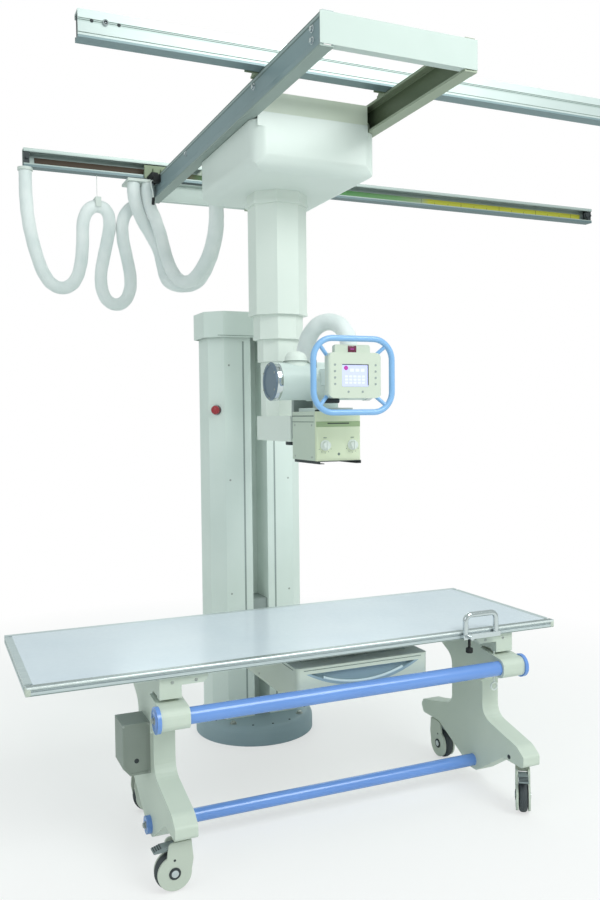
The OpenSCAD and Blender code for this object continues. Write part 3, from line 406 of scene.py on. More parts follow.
# %% Paint the CAD pieces
CAD_FINISH = {
    "near_rail": near_rail_metal, "far_rail": far_rail_metal, "rail_end_stops": dark_plate,
    "scale_strip": tape,
    "left_beam": left_beam_coat, "right_beam": right_beam_coat, "bridge_end_covers": end_cover_coat,
    "bridge_trolleys": sage_coat, "carriage_frame": frame_coat, "carriage_cover": cover_plastic,
    "column_outer": cream_coat, "column_middle": cream_coat, "column_inner": cream_coat,
    "swivel_head": cream_coat, "tube_mount": slide_coat, "tube_housing": white_coat,
    "tube_end_caps": cap_reflection_paint, "cable_sockets": cream_coat, "collimator_body": side_coat,
    "collimator_front": collimator_plastic, "accessory_rails": dark_plate,
    "collimator_knob_left": knob_plastic, "collimator_knob_right": knob_plastic,
    "panel_housing": front_plastic, "panel_screen": screen_page, "panel_keys": key_plastic,
    "grip_ring": sky_plastic,
    "hose_fittings": fitting_plastic, "stand_foot": foot_coat, "stand_column": stand_coat,
    "stand_cap": stand_coat, "stop_collar": strip_metal, "stop_button": stop_plastic,
    "detector_slide": slide_coat, "detector_housing": front_plastic, "detector_handle": recess_plastic,
    "table_top": laminate, "top_profiles": edge_metal, "cross_slide": slide_coat, "leg_beams": leg_cream_shaded,
    "left_leg": leg_cream_shaded, "right_leg": leg_cream_shaded, "cross_tubes": tube_enamel, "control_box": box_coat,
    "grab_handle": chrome,
}
CASTERS = ("front_left", "front_right", "rear_left", "rear_right")
for corner in CASTERS:
    CAD_FINISH["fork_" + corner] = caster_cream_shaded
    CAD_FINISH["wheel_" + corner] = tread_rubber
    CAD_FINISH["pedal_" + corner] = pedal_plastic
for node, material in CAD_FINISH.items():
    mesh = frame["nodes"][node].data
    mesh.materials.clear()
    mesh.materials.append(material)
print(len(CAD_FINISH), "CAD pieces painted")

# %% [markdown]
# ## Hoses
# Every cable on a ceiling-hung machine is gathered in a padded sleeve about seven centimetres
# thick. It could be a curve with a round section, but a real sleeve is slightly lumpy where the
# cables inside turn, so the curve is made a mesh and its skin is pushed about by a soft cloud.

# %% Sleeve material
sleeve, tree, shader, where = start_material("braided_polyester_sleeve", Roughness=0.75, Sheen_Weight=0.2)
wrap = add(tree, "ShaderNodeTexVoronoi", Vector=where, Scale=90.0)
cloud = add(tree, "ShaderNodeTexNoise", Vector=where, Scale=7.0, Detail=2.0)
tree.links.new(ramp(tree, cloud.outputs["Fac"], [(0.3, "#F5F7F7"), (0.7, "#E4EAEA")]),
               shader.inputs["Base Color"])
weave = add(tree, "ShaderNodeBump", Strength=0.25, Distance=0.0015, Height=wrap.outputs["Distance"])
tree.links.new(weave.outputs["Normal"], shader.inputs["Normal"])


# %% Hose helper
def tube_along(points, diameter, sides, steps=8):
    """A round tube along a smooth line through the points, the centres of its rings and its length."""
    bpy.ops.object.select_all(action="DESELECT")
    bpy.ops.curve.primitive_bezier_curve_add()
    obj = bpy.context.object
    obj.location = (0, 0, 0)
    curve = obj.data
    curve.dimensions = "3D"
    spline = curve.splines[0]
    spline.bezier_points.add(len(points) - 2)
    for knot, p in zip(spline.bezier_points, points):
        knot.co, knot.handle_left_type, knot.handle_right_type = p, "AUTO", "AUTO"
    curve.resolution_u = steps
    bpy.ops.object.duplicate()
    line = bpy.context.object
    bpy.ops.object.convert(target="MESH")
    path = [v.co.copy() for v in line.data.vertices]
    bpy.ops.object.delete()
    only(obj)
    curve.bevel_depth, curve.bevel_resolution, curve.use_fill_caps = diameter / 2, sides, True
    bpy.ops.object.convert(target="MESH")
    length = round(sum((b - a).length for a, b in zip(path, path[1:])), 3)
    return bpy.context.object, path, length


def hose(name, millimetres, diameter, body, with_blend=None):
    """A lumpy sleeve along round points in millimetres. It prints the length of its own centre
    line, and rides on a body, or is left on no body when with_blend is given."""
    obj, path, length = tube_along([Vector(p) / 1000 for p in millimetres], diameter, 6)
    bpy.ops.object.mode_set(mode="EDIT")
    bpy.ops.mesh.select_all(action="SELECT")
    bpy.ops.mesh.remove_doubles(threshold=0.0001)
    bpy.ops.mesh.normals_make_consistent(inside=False)
    bpy.ops.object.mode_set(mode="OBJECT")
    lumps = bpy.data.textures.new(name + "_lumps", "CLOUDS")
    lumps.noise_scale = 0.05
    push = obj.modifiers.new("lumps", "DISPLACE")
    push.texture, push.strength, push.mid_level, push.texture_coords = lumps, 0.004, 0.5, "LOCAL"
    apply_all(obj)
    obj.name = obj.data.name = name
    obj.data.materials.clear()
    obj.data.materials.append(sleeve)
    bpy.ops.object.shade_smooth()
    if with_blend:
        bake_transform(obj)
    else:
        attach(obj, body)
    print(name, "is", length, "m long")
    return obj


# %% Hoses along the bridge
SUPPLY = [(-970, 720, 2850), (-970, 720, 2790), (-968, 720, 2710), (-962, 720, 2620), (-944, 720, 2508),
          (-916, 720, 2400), (-878, 720, 2306), (-840, 720, 2264), (-798, 720, 2250), (-756, 720, 2262),
          (-720, 720, 2302), (-694, 720, 2380), (-682, 720, 2480), (-678, 720, 2582), (-664, 720, 2646),
          (-630, 720, 2688), (-590, 720, 2696), (-552, 720, 2676), (-535, 720, 2612), (-548, 720, 2521),
          (-573, 720, 2410), (-587, 720, 2309), (-576, 720, 2232), (-546, 720, 2187), (-506, 720, 2173),
          (-466, 720, 2189), (-435, 720, 2240), (-426, 720, 2319), (-444, 720, 2430), (-464, 720, 2540),
          (-462, 720, 2626), (-434, 720, 2686), (-394, 720, 2720), (-350, 720, 2768), (-350, 720, 2822)]
FRONT = [(-342, 640, 2822), (-342, 640, 2766), (-334, 634, 2706), (-308, 616, 2630), (-290, 584, 2546),
         (-280, 540, 2452), (-270, 500, 2378), (-254, 460, 2316), (-235, 415, 2276), (-213, 365, 2260),
         (-190, 310, 2270), (-165, 250, 2312), (-146, 190, 2374), (-136, 140, 2446), (-136, 106, 2512),
         (-139, 86, 2572), (-139, 86, 2620)]
REAR = [(-418, 644, 2822), (-418, 644, 2766), (-406, 642, 2704), (-370, 662, 2630), (-320, 660, 2546),
        (-284, 628, 2452), (-278, 592, 2378), (-274, 556, 2318), (-262, 522, 2278), (-224, 505, 2260),
        (-178, 470, 2256), (-146, 410, 2266), (-126, 350, 2300), (-110, 290, 2362), (-102, 232, 2434),
        (-101, 188, 2500), (-107, 162, 2560), (-107, 162, 2620)]
supply = hose("supply_sleeve", SUPPLY, 0.068, "bridge")
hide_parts("supply_hose")
front = hose("carriage_sleeve_front", FRONT, 0.068, "bridge", "carriage")
hose("carriage_sleeve_rear", REAR, 0.068, "bridge", "carriage")
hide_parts("carriage_hoses")

# %% Hose over the x-ray tube
ARCH = [(30, -503.3, 1728), (30, -534, 1728), (30, -566, 1742), (24, -598, 1770), (16, -628, 1812),
        (14, -656, 1860), (22, -686, 1904), (42, -718, 1936), (70, -752, 1948), (96, -786, 1938),
        (112, -816, 1910), (118, -844, 1868), (118, -844, 1816)]
arch = hose("head_sleeve", ARCH, 0.072, "tube")
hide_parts("head_hose")

# %% [markdown]
# ## Fasteners
# Three masters serve the whole machine: a socket-head bolt, a domed screw with a driver recess and
# a hexagon bolt on a washer. Instances would be lighter, but every piece needs its own mesh, so each
# master is modelled once, facing +Z, and copied where a fastener sits.

# %% Fastener masters
def recess(obj, share, depth, level):
    """Insets the top face of obj by a share of its size and pushes it down."""
    only(obj)
    bpy.ops.object.mode_set(mode="EDIT")
    pick(obj, lambda f: f.normal.z > 0.9 and f.calc_center_median().z > level)
    bpy.ops.mesh.inset(thickness=share)
    bpy.ops.mesh.extrude_region_move(TRANSFORM_OT_translate={"value": (0, 0, -depth)})
    bpy.ops.object.mode_set(mode="OBJECT")
    return obj


def bolt_master(radius, height):
    """Cylinder head with a round socket."""
    obj = rod((0, 0, -0.0005), (0, 0, height), radius, bevel=height * 0.15, sides=24)
    return recess(obj, radius * 0.45, height * 0.5, height * 0.9)


def screw_master(radius):
    """Low domed head with a driver recess."""
    bpy.ops.object.select_all(action="DESELECT")
    bpy.ops.mesh.primitive_uv_sphere_add(segments=20, ring_count=12, radius=radius)
    obj = bpy.context.object
    obj.scale = (1, 1, 0.45)
    apply_all(obj)
    slots = [block((-radius * 0.6, -radius * 0.12, radius * 0.3), (radius * 0.6, radius * 0.12, radius)),
             block((-radius * 0.12, -radius * 0.6, radius * 0.3), (radius * 0.12, radius * 0.6, radius))]
    for cutter in slots:
        only(obj)
        cut = obj.modifiers.new("driver_slot", "BOOLEAN")
        cut.object, cut.operation = cutter, "DIFFERENCE"
        apply_all(obj)
        only(cutter)
        bpy.ops.object.delete()
    only(obj)
    bpy.ops.object.shade_smooth_by_angle(angle=math.radians(35))
    return obj


def hex_master(radius):
    """Hexagon head on a round washer."""
    washer = rod((0, 0, -0.0005), (0, 0, radius * 0.25), radius * 1.35, bevel=radius * 0.06, sides=28)
    head = rod((0, 0, radius * 0.25), (0, 0, radius * 0.95), radius, bevel=radius * 0.08, sides=6)
    return join([washer, head])


def fasten(master, places, name, body, material=screw_zinc):
    """Copies a master to its places and ties the copies to a body as one piece."""
    return fit_out(copies(master, places), name, body, material)


# %% Fasteners on the rails and the bridge
FORWARD, UPWARD = (0, -1, 0), (0, 0, 1)
near_low, near_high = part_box("near_rail")
far_low, far_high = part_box("far_rail")
beam_low, beam_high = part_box("left_beam")
face = near_low.y
bolt_z = near_high.z - 0.036
web_x = beam_low.x + 0.009
bolt_places = [((x, face, bolt_z), FORWARD) for x in (near_low.x + 0.095, near_high.x - 0.095)]
fasten(bolt_master(0.011, 0.006), bolt_places, "near_rail_bolts", "fixed", material=chrome)
screw_places = [((x, face, bolt_z), FORWARD)
                for x in (near_low.x + 0.048, near_low.x + 0.142, near_high.x - 0.048, near_high.x - 0.142)]
fasten(screw_master(0.0065), screw_places, "near_rail_screws", "fixed", dark_plate)
along_beam = ((0.075, 0.034), (0.075, 0.072), (0.62, 0.034), (1.55, 0.034), (2.1, 0.034))
beam_places = [((web_x, beam_low.y + dy, beam_high.z - dz), (-1, 0, 0)) for dy, dz in along_beam]
fasten(hex_master(0.010), beam_places, "left_beam_bolts", "bridge", material=chrome)
rail_end = (far_high.x - 0.045, far_low.y + 0.004, (far_low.z + far_high.z) / 2)
fasten(hex_master(0.016), [(rail_end, FORWARD)], "far_rail_end_bolt", "fixed", dark_plate)

# %% Lines along the rails and the beam
# These dark strips are painted shade: in the near rail's grooves and in the gaps along the left beam's upper
# edge.
groove_shadows = [block((near_low.x, face + 0.0004, near_low.z + dz),
                 (near_high.x, face + 0.0012, near_low.z + dz + 0.003)) for dz in (0.0154, 0.0576, 0.0634)]
fit_out(groove_shadows, "near_rail_groove_shadow_lines", "fixed", shade_seam_print_grey)
beam_shadow_gaps = [block((web_x - 0.0008, beam_low.y + 0.004, beam_high.z - dz - dt),
               (web_x + 0.0002, beam_high.y - 0.004, beam_high.z - dz))
         for dz, dt in ((0.0155, 0.0035), (0.001, 0.003))]
fit_out(beam_shadow_gaps, "left_beam_shadow_gap_lines", "bridge", shade_seam_print_grey)
tape_face, tick_bottom = far_high.y - 0.0078, far_low.z + 0.032
ticks = []
for i in range(13):
    tick_top = far_low.z + (0.060 if i % 3 == 0 else 0.044)
    x = 1.45 + 0.1 * i
    ticks.append(block((x, tape_face, tick_bottom), (x + 0.0022, tape_face + 0.0006, tick_top)))
fit_out(ticks, "position_tape_ticks", "fixed", dark_plate)

# %% [markdown]
# At the rear of the left beam the trolley carries a switch box whose thin jumper lead hangs
# outside the beam and ends in a black connector. The lead is made as the hoses are, without lumps.

# %% Limit switch and its lead
corner = Vector((beam_low.x, beam_high.y - 0.10, beam_high.z))
LEAD = [(-12, -45, -34), (-36, -85, -44), (-50, -125, -78), (-47, -146, -118), (-45, -150, -152)]


def by_corner(x, y, z):
    """A place in millimetres from the beam's rear corner."""
    return corner + Vector((x, y, z)) / 1000


box_parts = [block(by_corner(-30, -55, -40), by_corner(9, 45, 12), 0.004),
             block(by_corner(-22, -105, -52), by_corner(9, -60, -10), 0.003),
             rod(by_corner(-34, -5, -14), by_corner(-10, -5, -14), 0.008, 0.001)]
fit_out(box_parts, "limit_switch", "bridge", black_rubber)
plug = rod(by_corner(-45, -150, -150), by_corner(-48, -152, -186), 0.008, 0.0015)
plug = fit_out(plug, "switch_plug", "bridge", black_rubber)
lead, lead_path, lead_length = tube_along([by_corner(*p) for p in LEAD], 0.006, 3)
lead = fit_out(lead, "switch_lead", "bridge", cord_nylon)
print("switch lead is", lead_length, "m long")

# %% [markdown]
# ## X-ray tube and its head
# A polished ring clamps each end cap, a dark joint runs round each socket dome, and a small bracket
# on the swivel head holds the hose. A torus would be too round for a clamp band, so each ring is an
# open cylinder that Solidify gives its wall and Bevel its edges.

# %% Bands and clamps on the tube
def band(centre, axis, radius, width, thickness):
    """A thin ring around an axis, its outer face at the given radius."""
    bpy.ops.object.select_all(action="DESELECT")
    bpy.ops.mesh.primitive_cylinder_add(vertices=96, radius=radius, depth=width, end_fill_type="NOTHING",
                                        location=centre)
    obj = bpy.context.object
    obj.rotation_mode = "QUATERNION"
    obj.rotation_quaternion = Vector(axis).to_track_quat("Z", "Y")
    apply_all(obj)
    wall = obj.modifiers.new("wall", "SOLIDIFY")
    wall.thickness, wall.offset = thickness, -1
    return soften(obj, thickness * 0.3)


def ends(low, high):
    """The two ends of a box along X, each with its outward sign."""
    return (low.x, -1), (high.x, 1)


cap_low, cap_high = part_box("tube_end_caps")
tube_y, tube_z = (cap_low.y + cap_high.y) / 2, (cap_low.z + cap_high.z) / 2
cap_r = (cap_high.z - cap_low.z) / 2
rings = [band((x - s * 0.0185, tube_y, tube_z), (1, 0, 0), cap_r + 0.0016, 0.024, 0.003)
         for x, s in ends(cap_low, cap_high)]
fit_out(rings, "tube_cap_rings", "tube", chrome)
around = [math.radians(30 + 60 * k) for k in range(6)]
circle = [(tube_y + (cap_r - 0.010) * math.cos(a), tube_z + (cap_r - 0.010) * math.sin(a)) for a in around]
cap_places = [((x - s * 0.0005, y, z), (s, 0, 0)) for x, s in ends(cap_low, cap_high) for y, z in circle]
fasten(bolt_master(0.004, 0.003), cap_places, "tube_cap_bolts", "tube")
sock_low, sock_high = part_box("cable_sockets")
collars = [band((x - s * 0.050, tube_y, tube_z + cap_r + 0.0045), UPWARD, 0.0512, 0.004, 0.004)
           for x, s in ends(sock_low, sock_high)]
fit_out(collars, "socket_joint_rings", "tube", shade_seam_print_grey)
clip = block((sock_low.x + 0.102, tube_y - 0.060, tube_z + 0.052),
             (sock_low.x + 0.116, tube_y - 0.038, tube_z + 0.084), 0.003)
fit_out(clip, "socket_clip", "tube", dark_plate)
bracket = [block((0.028, -0.488, 1.776), (0.058, -0.440, 1.806), 0.004),
           block((0.044, -0.492, 1.752), (0.070, -0.446, 1.786), 0.005)]
fit_out(bracket, "hose_bracket", "head", slide_coat)

# %% [markdown]
# ## Control panel
# The touch screen shows a pale page with fields and one magenta mark. They could be painted in one
# material, but thin plates on a flat glowing page stay sharp from near and need no picture.

# %% Screen
screen_low, screen_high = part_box("panel_screen")
page = screen_high - screen_low
FILM = 0.0006


def on_page(across, up_page, lift=0.0):
    """The point at those shares of the page's width and height, lifted off it towards the viewer."""
    return (screen_low.x + across * page.x, screen_low.y - lift, screen_low.z + up_page * page.z)


# A dark strip along the page's top and right edge is painted shadow.
borders = [block((screen_high.x - 0.0035, screen_low.y - 0.0007, screen_low.z + 0.004),
                 (screen_high.x, screen_low.y, screen_high.z)),
           block((screen_low.x, screen_low.y - 0.0007, screen_high.z - 0.0028),
                 (screen_high.x, screen_low.y, screen_high.z))]
fit_out(borders, "screen_shadow_border", "tube", screen_shadow_paint)
mark = rod(on_page(0.14, 0.83, 0.0008), on_page(0.14, 0.83), 0.0085)
fit_out(mark, "screen_record_mark", "tube", magenta_light)
tiles = [block(on_page(0.10 + 0.16 * i, 0.40 - 0.14 * j, FILM), on_page(0.21 + 0.16 * i, 0.49 - 0.14 * j))
         for i in range(5) for j in range(3)]
tiles += [block(on_page(0.30 + 0.20 * i, 0.66, FILM), on_page(0.44 + 0.20 * i, 0.80)) for i in range(3)]
fit_out(tiles, "screen_tiles", "tube", tile_light)

# %% Window above the panel
panel_low, panel_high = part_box("panel_housing")
plate_y = panel_low.y + 0.024
window = block((-0.020, plate_y - 0.002, panel_high.z - 0.030),
               (0.016, plate_y + 0.001, panel_high.z - 0.004), 0.0015)
fit_out(window, "receiver_window", "tube", maroon_plastic)
glyph = block((-0.010, plate_y - 0.0026, panel_high.z - 0.019),
              (0.006, plate_y - 0.0018, panel_high.z - 0.015))
fit_out(glyph, "receiver_lens", "tube", magenta_light)

# %% Dark underside of the panel's hinge
hinge_y, hinge_z = panel_high.y - 0.012, panel_low.z - 0.009
hinge = [block((-0.100, hinge_y - 0.014, hinge_z - 0.009), (-0.050, hinge_y + 0.010, hinge_z + 0.010), 0.004),
         rod((-0.112, hinge_y, hinge_z), (-0.044, hinge_y, hinge_z), 0.009, 0.002)]
fit_out(hinge, "panel_hinge", "tube", dark_plate)

# %% [markdown]
# ## Collimator
# The front cover has a green band with the light-field slit in it, a scale of dots round each knob
# and a pale strip above. The body's plates are stepped at the top, and a plate closes it there.
# All are thin pieces on the moulding, placed from its box, so they follow it if its size changes.

# %% Collimator's front
front_low, front_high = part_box("collimator_front")
fy = front_low.y
mid_x = (front_low.x + front_high.x) / 2


def front_strip(half, below, above, behind, ahead, bevel=0.0):
    """A strip across the front cover, its edges measured down from the cover's top."""
    return block((mid_x - half, fy + ahead, front_high.z - below),
                 (mid_x + half, fy + behind, front_high.z - above), bevel)


whole = (front_high.x - front_low.x) / 2 - 0.001
strip = front_strip(whole, 0.0615, 0.0405, 0.0032, 0.0022)
fit_out(strip, "collimator_band", "tube", band_green)
slit = front_strip(0.048, 0.050, 0.046, 0.0026, 0.0008, 0.0008)
fit_out(slit, "light_slit", "tube", dark_plate)
dots = []
for name in ("left", "right"):
    low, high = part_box("collimator_knob_" + name)
    kx, kz, kr = (low.x + high.x) / 2, (low.z + high.z) / 2, (high.x - low.x) / 2
    for a in (math.radians(-60 + 30 * k) for k in range(5)):
        dot_x, dot_z = kx + (kr + 0.009) * math.sin(a), kz - (kr + 0.009) * math.cos(a)
        dots.append(rod((dot_x, fy - 0.0004, dot_z), (dot_x, fy + 0.0004, dot_z), 0.0016, sides=10))
    dots.append(block((kx - 0.007, fy - 0.0005, kz + kr + 0.007), (kx + 0.007, fy + 0.0003, kz + kr + 0.010)))
button_z = front_low.z + 0.026
dots.append(rod((mid_x, fy - 0.0015, button_z), (mid_x, fy + 0.001, button_z), 0.0055, 0.0006))
fit_out(dots, "knob_scales", "tube", shade_seam_print_grey)

# %% Collimator's body
body_low, body_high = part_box("collimator_body")
PROUD = 0.0012
steps = [block((x - (PROUD if s < 0 else 0.001), body_low.y + 0.012, body_high.z - dz - dt),
               (x + (PROUD if s > 0 else 0.001), body_high.y - 0.004, body_high.z - dz))
         for x, s, dz, dt in ((body_low.x, -1, 0.0165, 0.0035), (body_low.x, -1, 0.0405, 0.0025),
                              (body_high.x, 1, 0.0165, 0.0035))]
fit_out(steps, "collimator_seams", "tube", shade_seam_print_grey)
side_places = [((x, y, z), (s, 0, 0)) for x, s in ends(body_low, body_high)
               for z in (body_low.z + 0.014, body_high.z - 0.055)
               for y in (body_low.y + 0.030, body_high.y - 0.030)]
fasten(screw_master(0.0045), side_places, "collimator_screws", "tube")
top_plate = front_strip(0.085, 0.001, -0.007, 0.075, 0.010, 0.003)
fit_out(top_plate, "collimator_top_plate", "tube", dark_plate)
cap_strip = front_strip(whole, 0.0400, 0.0015, 0.0034, 0.0024)
fit_out(cap_strip, "collimator_top_strip", "tube", pale_yellow)
# A dark block just under the arm, next to the collimator, is painted shadow.
arm_shadow_patch = block((-0.067, -0.652, 1.431), (-0.037, -0.604, 1.450), 0.003)
fit_out(arm_shadow_patch, "arm_painted_shadow", "head", dark_plate)

# %% [markdown]
# ## Detector stand
# Four nuts hold the foot to the floor, and a plastic lip lines the slot that the detector's slide
# runs in. Screws in a row hold the front sheet. A small function turns angles into places on the
# round foot, so nuts and cover screws share it.

# %% Stand's fasteners and slot lips
foot_low, foot_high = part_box("stand_foot")
foot_r = (foot_high.x - foot_low.x) / 2


def round_foot(inset, degrees):
    """Places on the foot's top at an inset from its rim, facing up."""
    return [(((foot_r - inset) * math.cos(math.radians(d)), (foot_r - inset) * math.sin(math.radians(d)),
              foot_high.z), UPWARD) for d in degrees]


fasten(hex_master(0.0125), round_foot(0.048, (45, 135, 225, 315)), "foot_anchor_nuts", "fixed")
cover_places = round_foot(0.040, (-112, -90, -68, -158, -22, 0, 180))
fasten(screw_master(0.006), cover_places, "foot_cover_screws", "fixed", dark_plate)
col_low, col_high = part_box("stand_column")
slot_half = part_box("detector_slide")[1].x + 0.012
lips = [block((x - 0.004, col_low.y - 0.0012, foot_high.z + 0.02),
              (x + 0.004, col_low.y + 0.0006, col_high.z - 0.12), 0.0006) for x in (-slot_half, slot_half)]
fit_out(lips, "stand_slot_lips", "fixed", slide_coat)
sheet_places = [((x, col_low.y, z), FORWARD) for x in (-0.150, 0.150)
                for z in (foot_high.z + 0.035, foot_high.z + 0.075, 0.70, 1.25, 1.80)]
fasten(screw_master(0.005), sheet_places, "stand_sheet_screws", "fixed")
capl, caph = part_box("stand_cap")
cap_line = block((capl.x + 0.045, capl.y - 0.0006, capl.z + 0.006),
                 (caph.x - 0.045, capl.y + 0.0006, capl.z + 0.0085))
fit_out(cap_line, "stand_cap_joint", "fixed", shade_seam_print_grey)

# %% [markdown]
# ## Detector
# Two mouldings meet at a seam round the housing, and the crescent in the front holds a pale bar
# that follows its curve, which the fingers close on. The bar is short straight rods along an arc,
# too short for their joints to show. Thin lines on top mark the field.

# %% Detector's seam, screws and handle bar
det_low, det_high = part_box("detector_housing")
det_mid = (det_low + det_high) / 2
seam_low, seam_high = det_high.z - 0.0112, det_high.z - 0.0088
seam = [block((x - 0.0007, det_low.y + 0.03, seam_low), (x + 0.0007, det_high.y - 0.07, seam_high))
        for x in (det_low.x, det_high.x)]
seam.append(block((det_low.x + 0.03, det_low.y - 0.0007, seam_low),
                  (det_high.x - 0.03, det_low.y + 0.0006, seam_high)))
fit_out(seam, "detector_seam", "detector", shade_seam_print_grey)
shell_places = [((x, y, det_low.z + 0.030), (s, 0, 0)) for x, s in ends(det_low, det_high)
                for y in (det_low.y + 0.06, det_mid.y, det_high.y - 0.13)]
fasten(screw_master(0.0045), shell_places, "detector_screws", "detector")
arc_r, arc_z = 0.473, det_high.z + 0.397
points = [Vector((det_mid.x + arc_r * math.sin(a), det_low.y + 0.006, arc_z - arc_r * math.cos(a)))
          for a in (math.radians(-21 + 3 * k) for k in range(15))]
bar = [rod(a, b, 0.0055, sides=16) for a, b in zip(points, points[1:])]
fit_out(bar, "detector_handle_bar", "detector", bar_plastic)
line_low, line_high = det_high.z - 0.0002, det_high.z + 0.0006
field_x = (det_low.x + 0.055, det_high.x - 0.0565, det_mid.x)
field_y = (det_low.y + 0.080, det_high.y - 0.150)
grid = [block((field_x[0], y, line_low), (field_x[1] + 0.0015, y + 0.0015, line_high)) for y in field_y]
grid += [block((x, field_y[0], line_low), (x + 0.0015, field_y[1], line_high)) for x in field_x]
fit_out(grid, "detector_field_lines", "detector", shade_seam_print_grey)

# %% [markdown]
# ## Table
# The top's edge extrusion has a rounded bead along its upper corner and a groove for
# accessories under it, and plastic plugs close its ends. The bead is a rod half sunk in the edge:
# it catches the light as the real rounding does, and the CAD mesh stays as it is. It is painted
# lighter than the edge, a painted highlight, and two dark lines below it are painted shade.

# %% Table edge
edge_low, edge_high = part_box("top_profiles")
bead_y, bead_z = edge_low.y + 0.0012, edge_high.z - 0.0040
bead_x = edge_low.x + 0.0012
bead = [rod((edge_low.x + 0.004, bead_y, bead_z), (edge_high.x - 0.004, bead_y, bead_z), 0.0038, sides=16),
        rod((bead_x, edge_low.y + 0.045, bead_z), (bead_x, edge_high.y - 0.045, bead_z), 0.0026, sides=12)]
fit_out(bead, "edge_bead", "top", bead_highlight_metal)
top_strip = block((edge_low.x + 0.004, edge_low.y + 0.0045, edge_high.z - 0.0004),
                  (edge_high.x - 0.004, edge_low.y + 0.024, edge_high.z + 0.0005))
fit_out(top_strip, "edge_top_strip", "top", strip_metal)
# Two dark lines on the edge's face are painted shade, in the groove and lower down.
shade_lines = [block((edge_low.x + 0.002, edge_low.y - 0.0006, edge_high.z - dz - dt),
                     (edge_high.x - 0.002, edge_low.y + 0.0008, edge_high.z - dz))
               for dz, dt in ((0.0100, 0.0012), (0.0268, 0.0020))]
fit_out(shade_lines, "edge_groove_shade_lines", "top", shade_seam_print_grey)
plugs = [block((x, edge_low.y - 0.0008, edge_low.z - 0.0006),
               (x + 0.018, edge_low.y + 0.030, edge_high.z - 0.0006), 0.003)
         for x in (edge_low.x - 0.0006, edge_high.x - 0.0174)]
fit_out(plugs, "edge_end_plugs", "top", caster_cream_shaded)
handle_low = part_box("grab_handle")[0]
clamp_top = handle_low + Vector((0.025, 0.022, 0.001))
clamp = [rod(clamp_top - Vector((0, 0, 0.035)), clamp_top, 0.0055, 0.0008),
         rod(clamp_top - Vector((0, 0, 0.053)), clamp_top - Vector((0, 0, 0.033)), 0.014, 0.003)]
fit_out(clamp, "handle_clamp_knob", "top", black_rubber)

# %% Leg brackets and tube ends
legb_low, legb_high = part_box("leg_beams")
tube_low, tube_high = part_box("cross_tubes")
leg_places = [((x - s * inset, legb_low.y, legb_high.z - 0.020), FORWARD)
              for x, s in ends(legb_low, legb_high) for inset in (0.045, 0.130)]
fasten(screw_master(0.006), leg_places, "bracket_screws", "fixed")
upper_y, upper_z = tube_low.y + 0.0457, tube_high.z - 0.046
lower_y, lower_z = tube_high.y - 0.032, tube_low.z + 0.032
discs = [rod((x - 0.001 * s, upper_y, upper_z), (x + 0.0015 * s, upper_y, upper_z), 0.030, 0.0006)
         for x, s in ends(tube_low, tube_high)]
fit_out(discs, "cross_tube_end_discs", "fixed", tube_enamel)
disc_places = [((x + s * out, y, z), (s, 0, 0))
               for y, z, out in ((upper_y, upper_z, 0.001), (lower_y, lower_z, -0.008))
               for x, s in ends(tube_low, tube_high)]
fasten(hex_master(0.010), disc_places, "cross_tube_bolts", "fixed")

# %% Control box and the holes in the legs' feet
box_low, box_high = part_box("control_box")
louvres = [block((box_low.x + 0.022, box_low.y + 0.0035, top_z - 0.004),
                 (box_high.x - 0.020, box_low.y + 0.0045, top_z))
           for top_z in (box_high.z - 0.026 - 0.011 * k for k in range(5))]
lock = box_low + Vector((0.050, 0.0025, 0.050))
louvres.append(rod(lock, lock + Vector((0, 0.0025, 0)), 0.009, 0.001))
fit_out(louvres, "control_box_vents", "fixed", dark_plate)
box_corners = ((box_high.x - 0.0045, box_high.z - 0.006), (box_low.x + 0.0045, box_high.z - 0.006),
               (box_high.x - 0.0045, box_low.z + 0.005))
box_places = [((x, box_low.y + 0.0005, z), FORWARD) for x, z in box_corners]
fasten(screw_master(0.0045), box_places, "control_box_screws", "fixed")
inner_left, inner_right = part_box("left_leg")[1].x - 0.0125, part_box("right_leg")[0].x + 0.0125
# Dark discs on the legs' inner faces paint the shade inside the holes.
foot_hole_shades = [rod((x, -1.278, 0.195), (x + s * 0.0015, -1.278, 0.195), 0.009)
              for x, s in ((inner_left, 1), (inner_right, -1))]
fit_out(foot_hole_shades, "leg_foot_hole_shade_discs", "fixed", dark_plate)

# %% [markdown]
# A thin nylon pull cord with a ring on its end hangs beside the right leg, behind the upper tube.
# It releases the floating top's brake.

# %% Pull cord
cord_top = Vector((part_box("right_leg")[0].x + 0.012, legb_low.y + 0.014, legb_low.z))
cord_end = Vector((cord_top.x, cord_top.y, 0.470))
cord = rod(cord_end, cord_top + Vector((0, 0, 0.002)), 0.0030, sides=10)
cord = fit_out(cord, "pull_cord", "fixed", cord_nylon)
bpy.ops.object.select_all(action="DESELECT")
bpy.ops.mesh.primitive_torus_add(
    major_radius=0.015, minor_radius=0.0036, major_segments=36, minor_segments=10,
    location=cord_end - Vector((0, 0, 0.0175)), rotation=(math.pi / 2, 0, 0)
)
pull_ring = fit_out(bpy.context.object, "pull_ring", "fixed", cord_nylon)
only(pull_ring)
bpy.ops.object.shade_smooth()

# %% [markdown]
# ## Casters
# Each fork carries a dark hub ring around a bright axle cap, and its pedal is ribbed for the shoe.
# The four casters point different ways, so axle and pedal are read from the record's joints and one
# loop dresses all four.

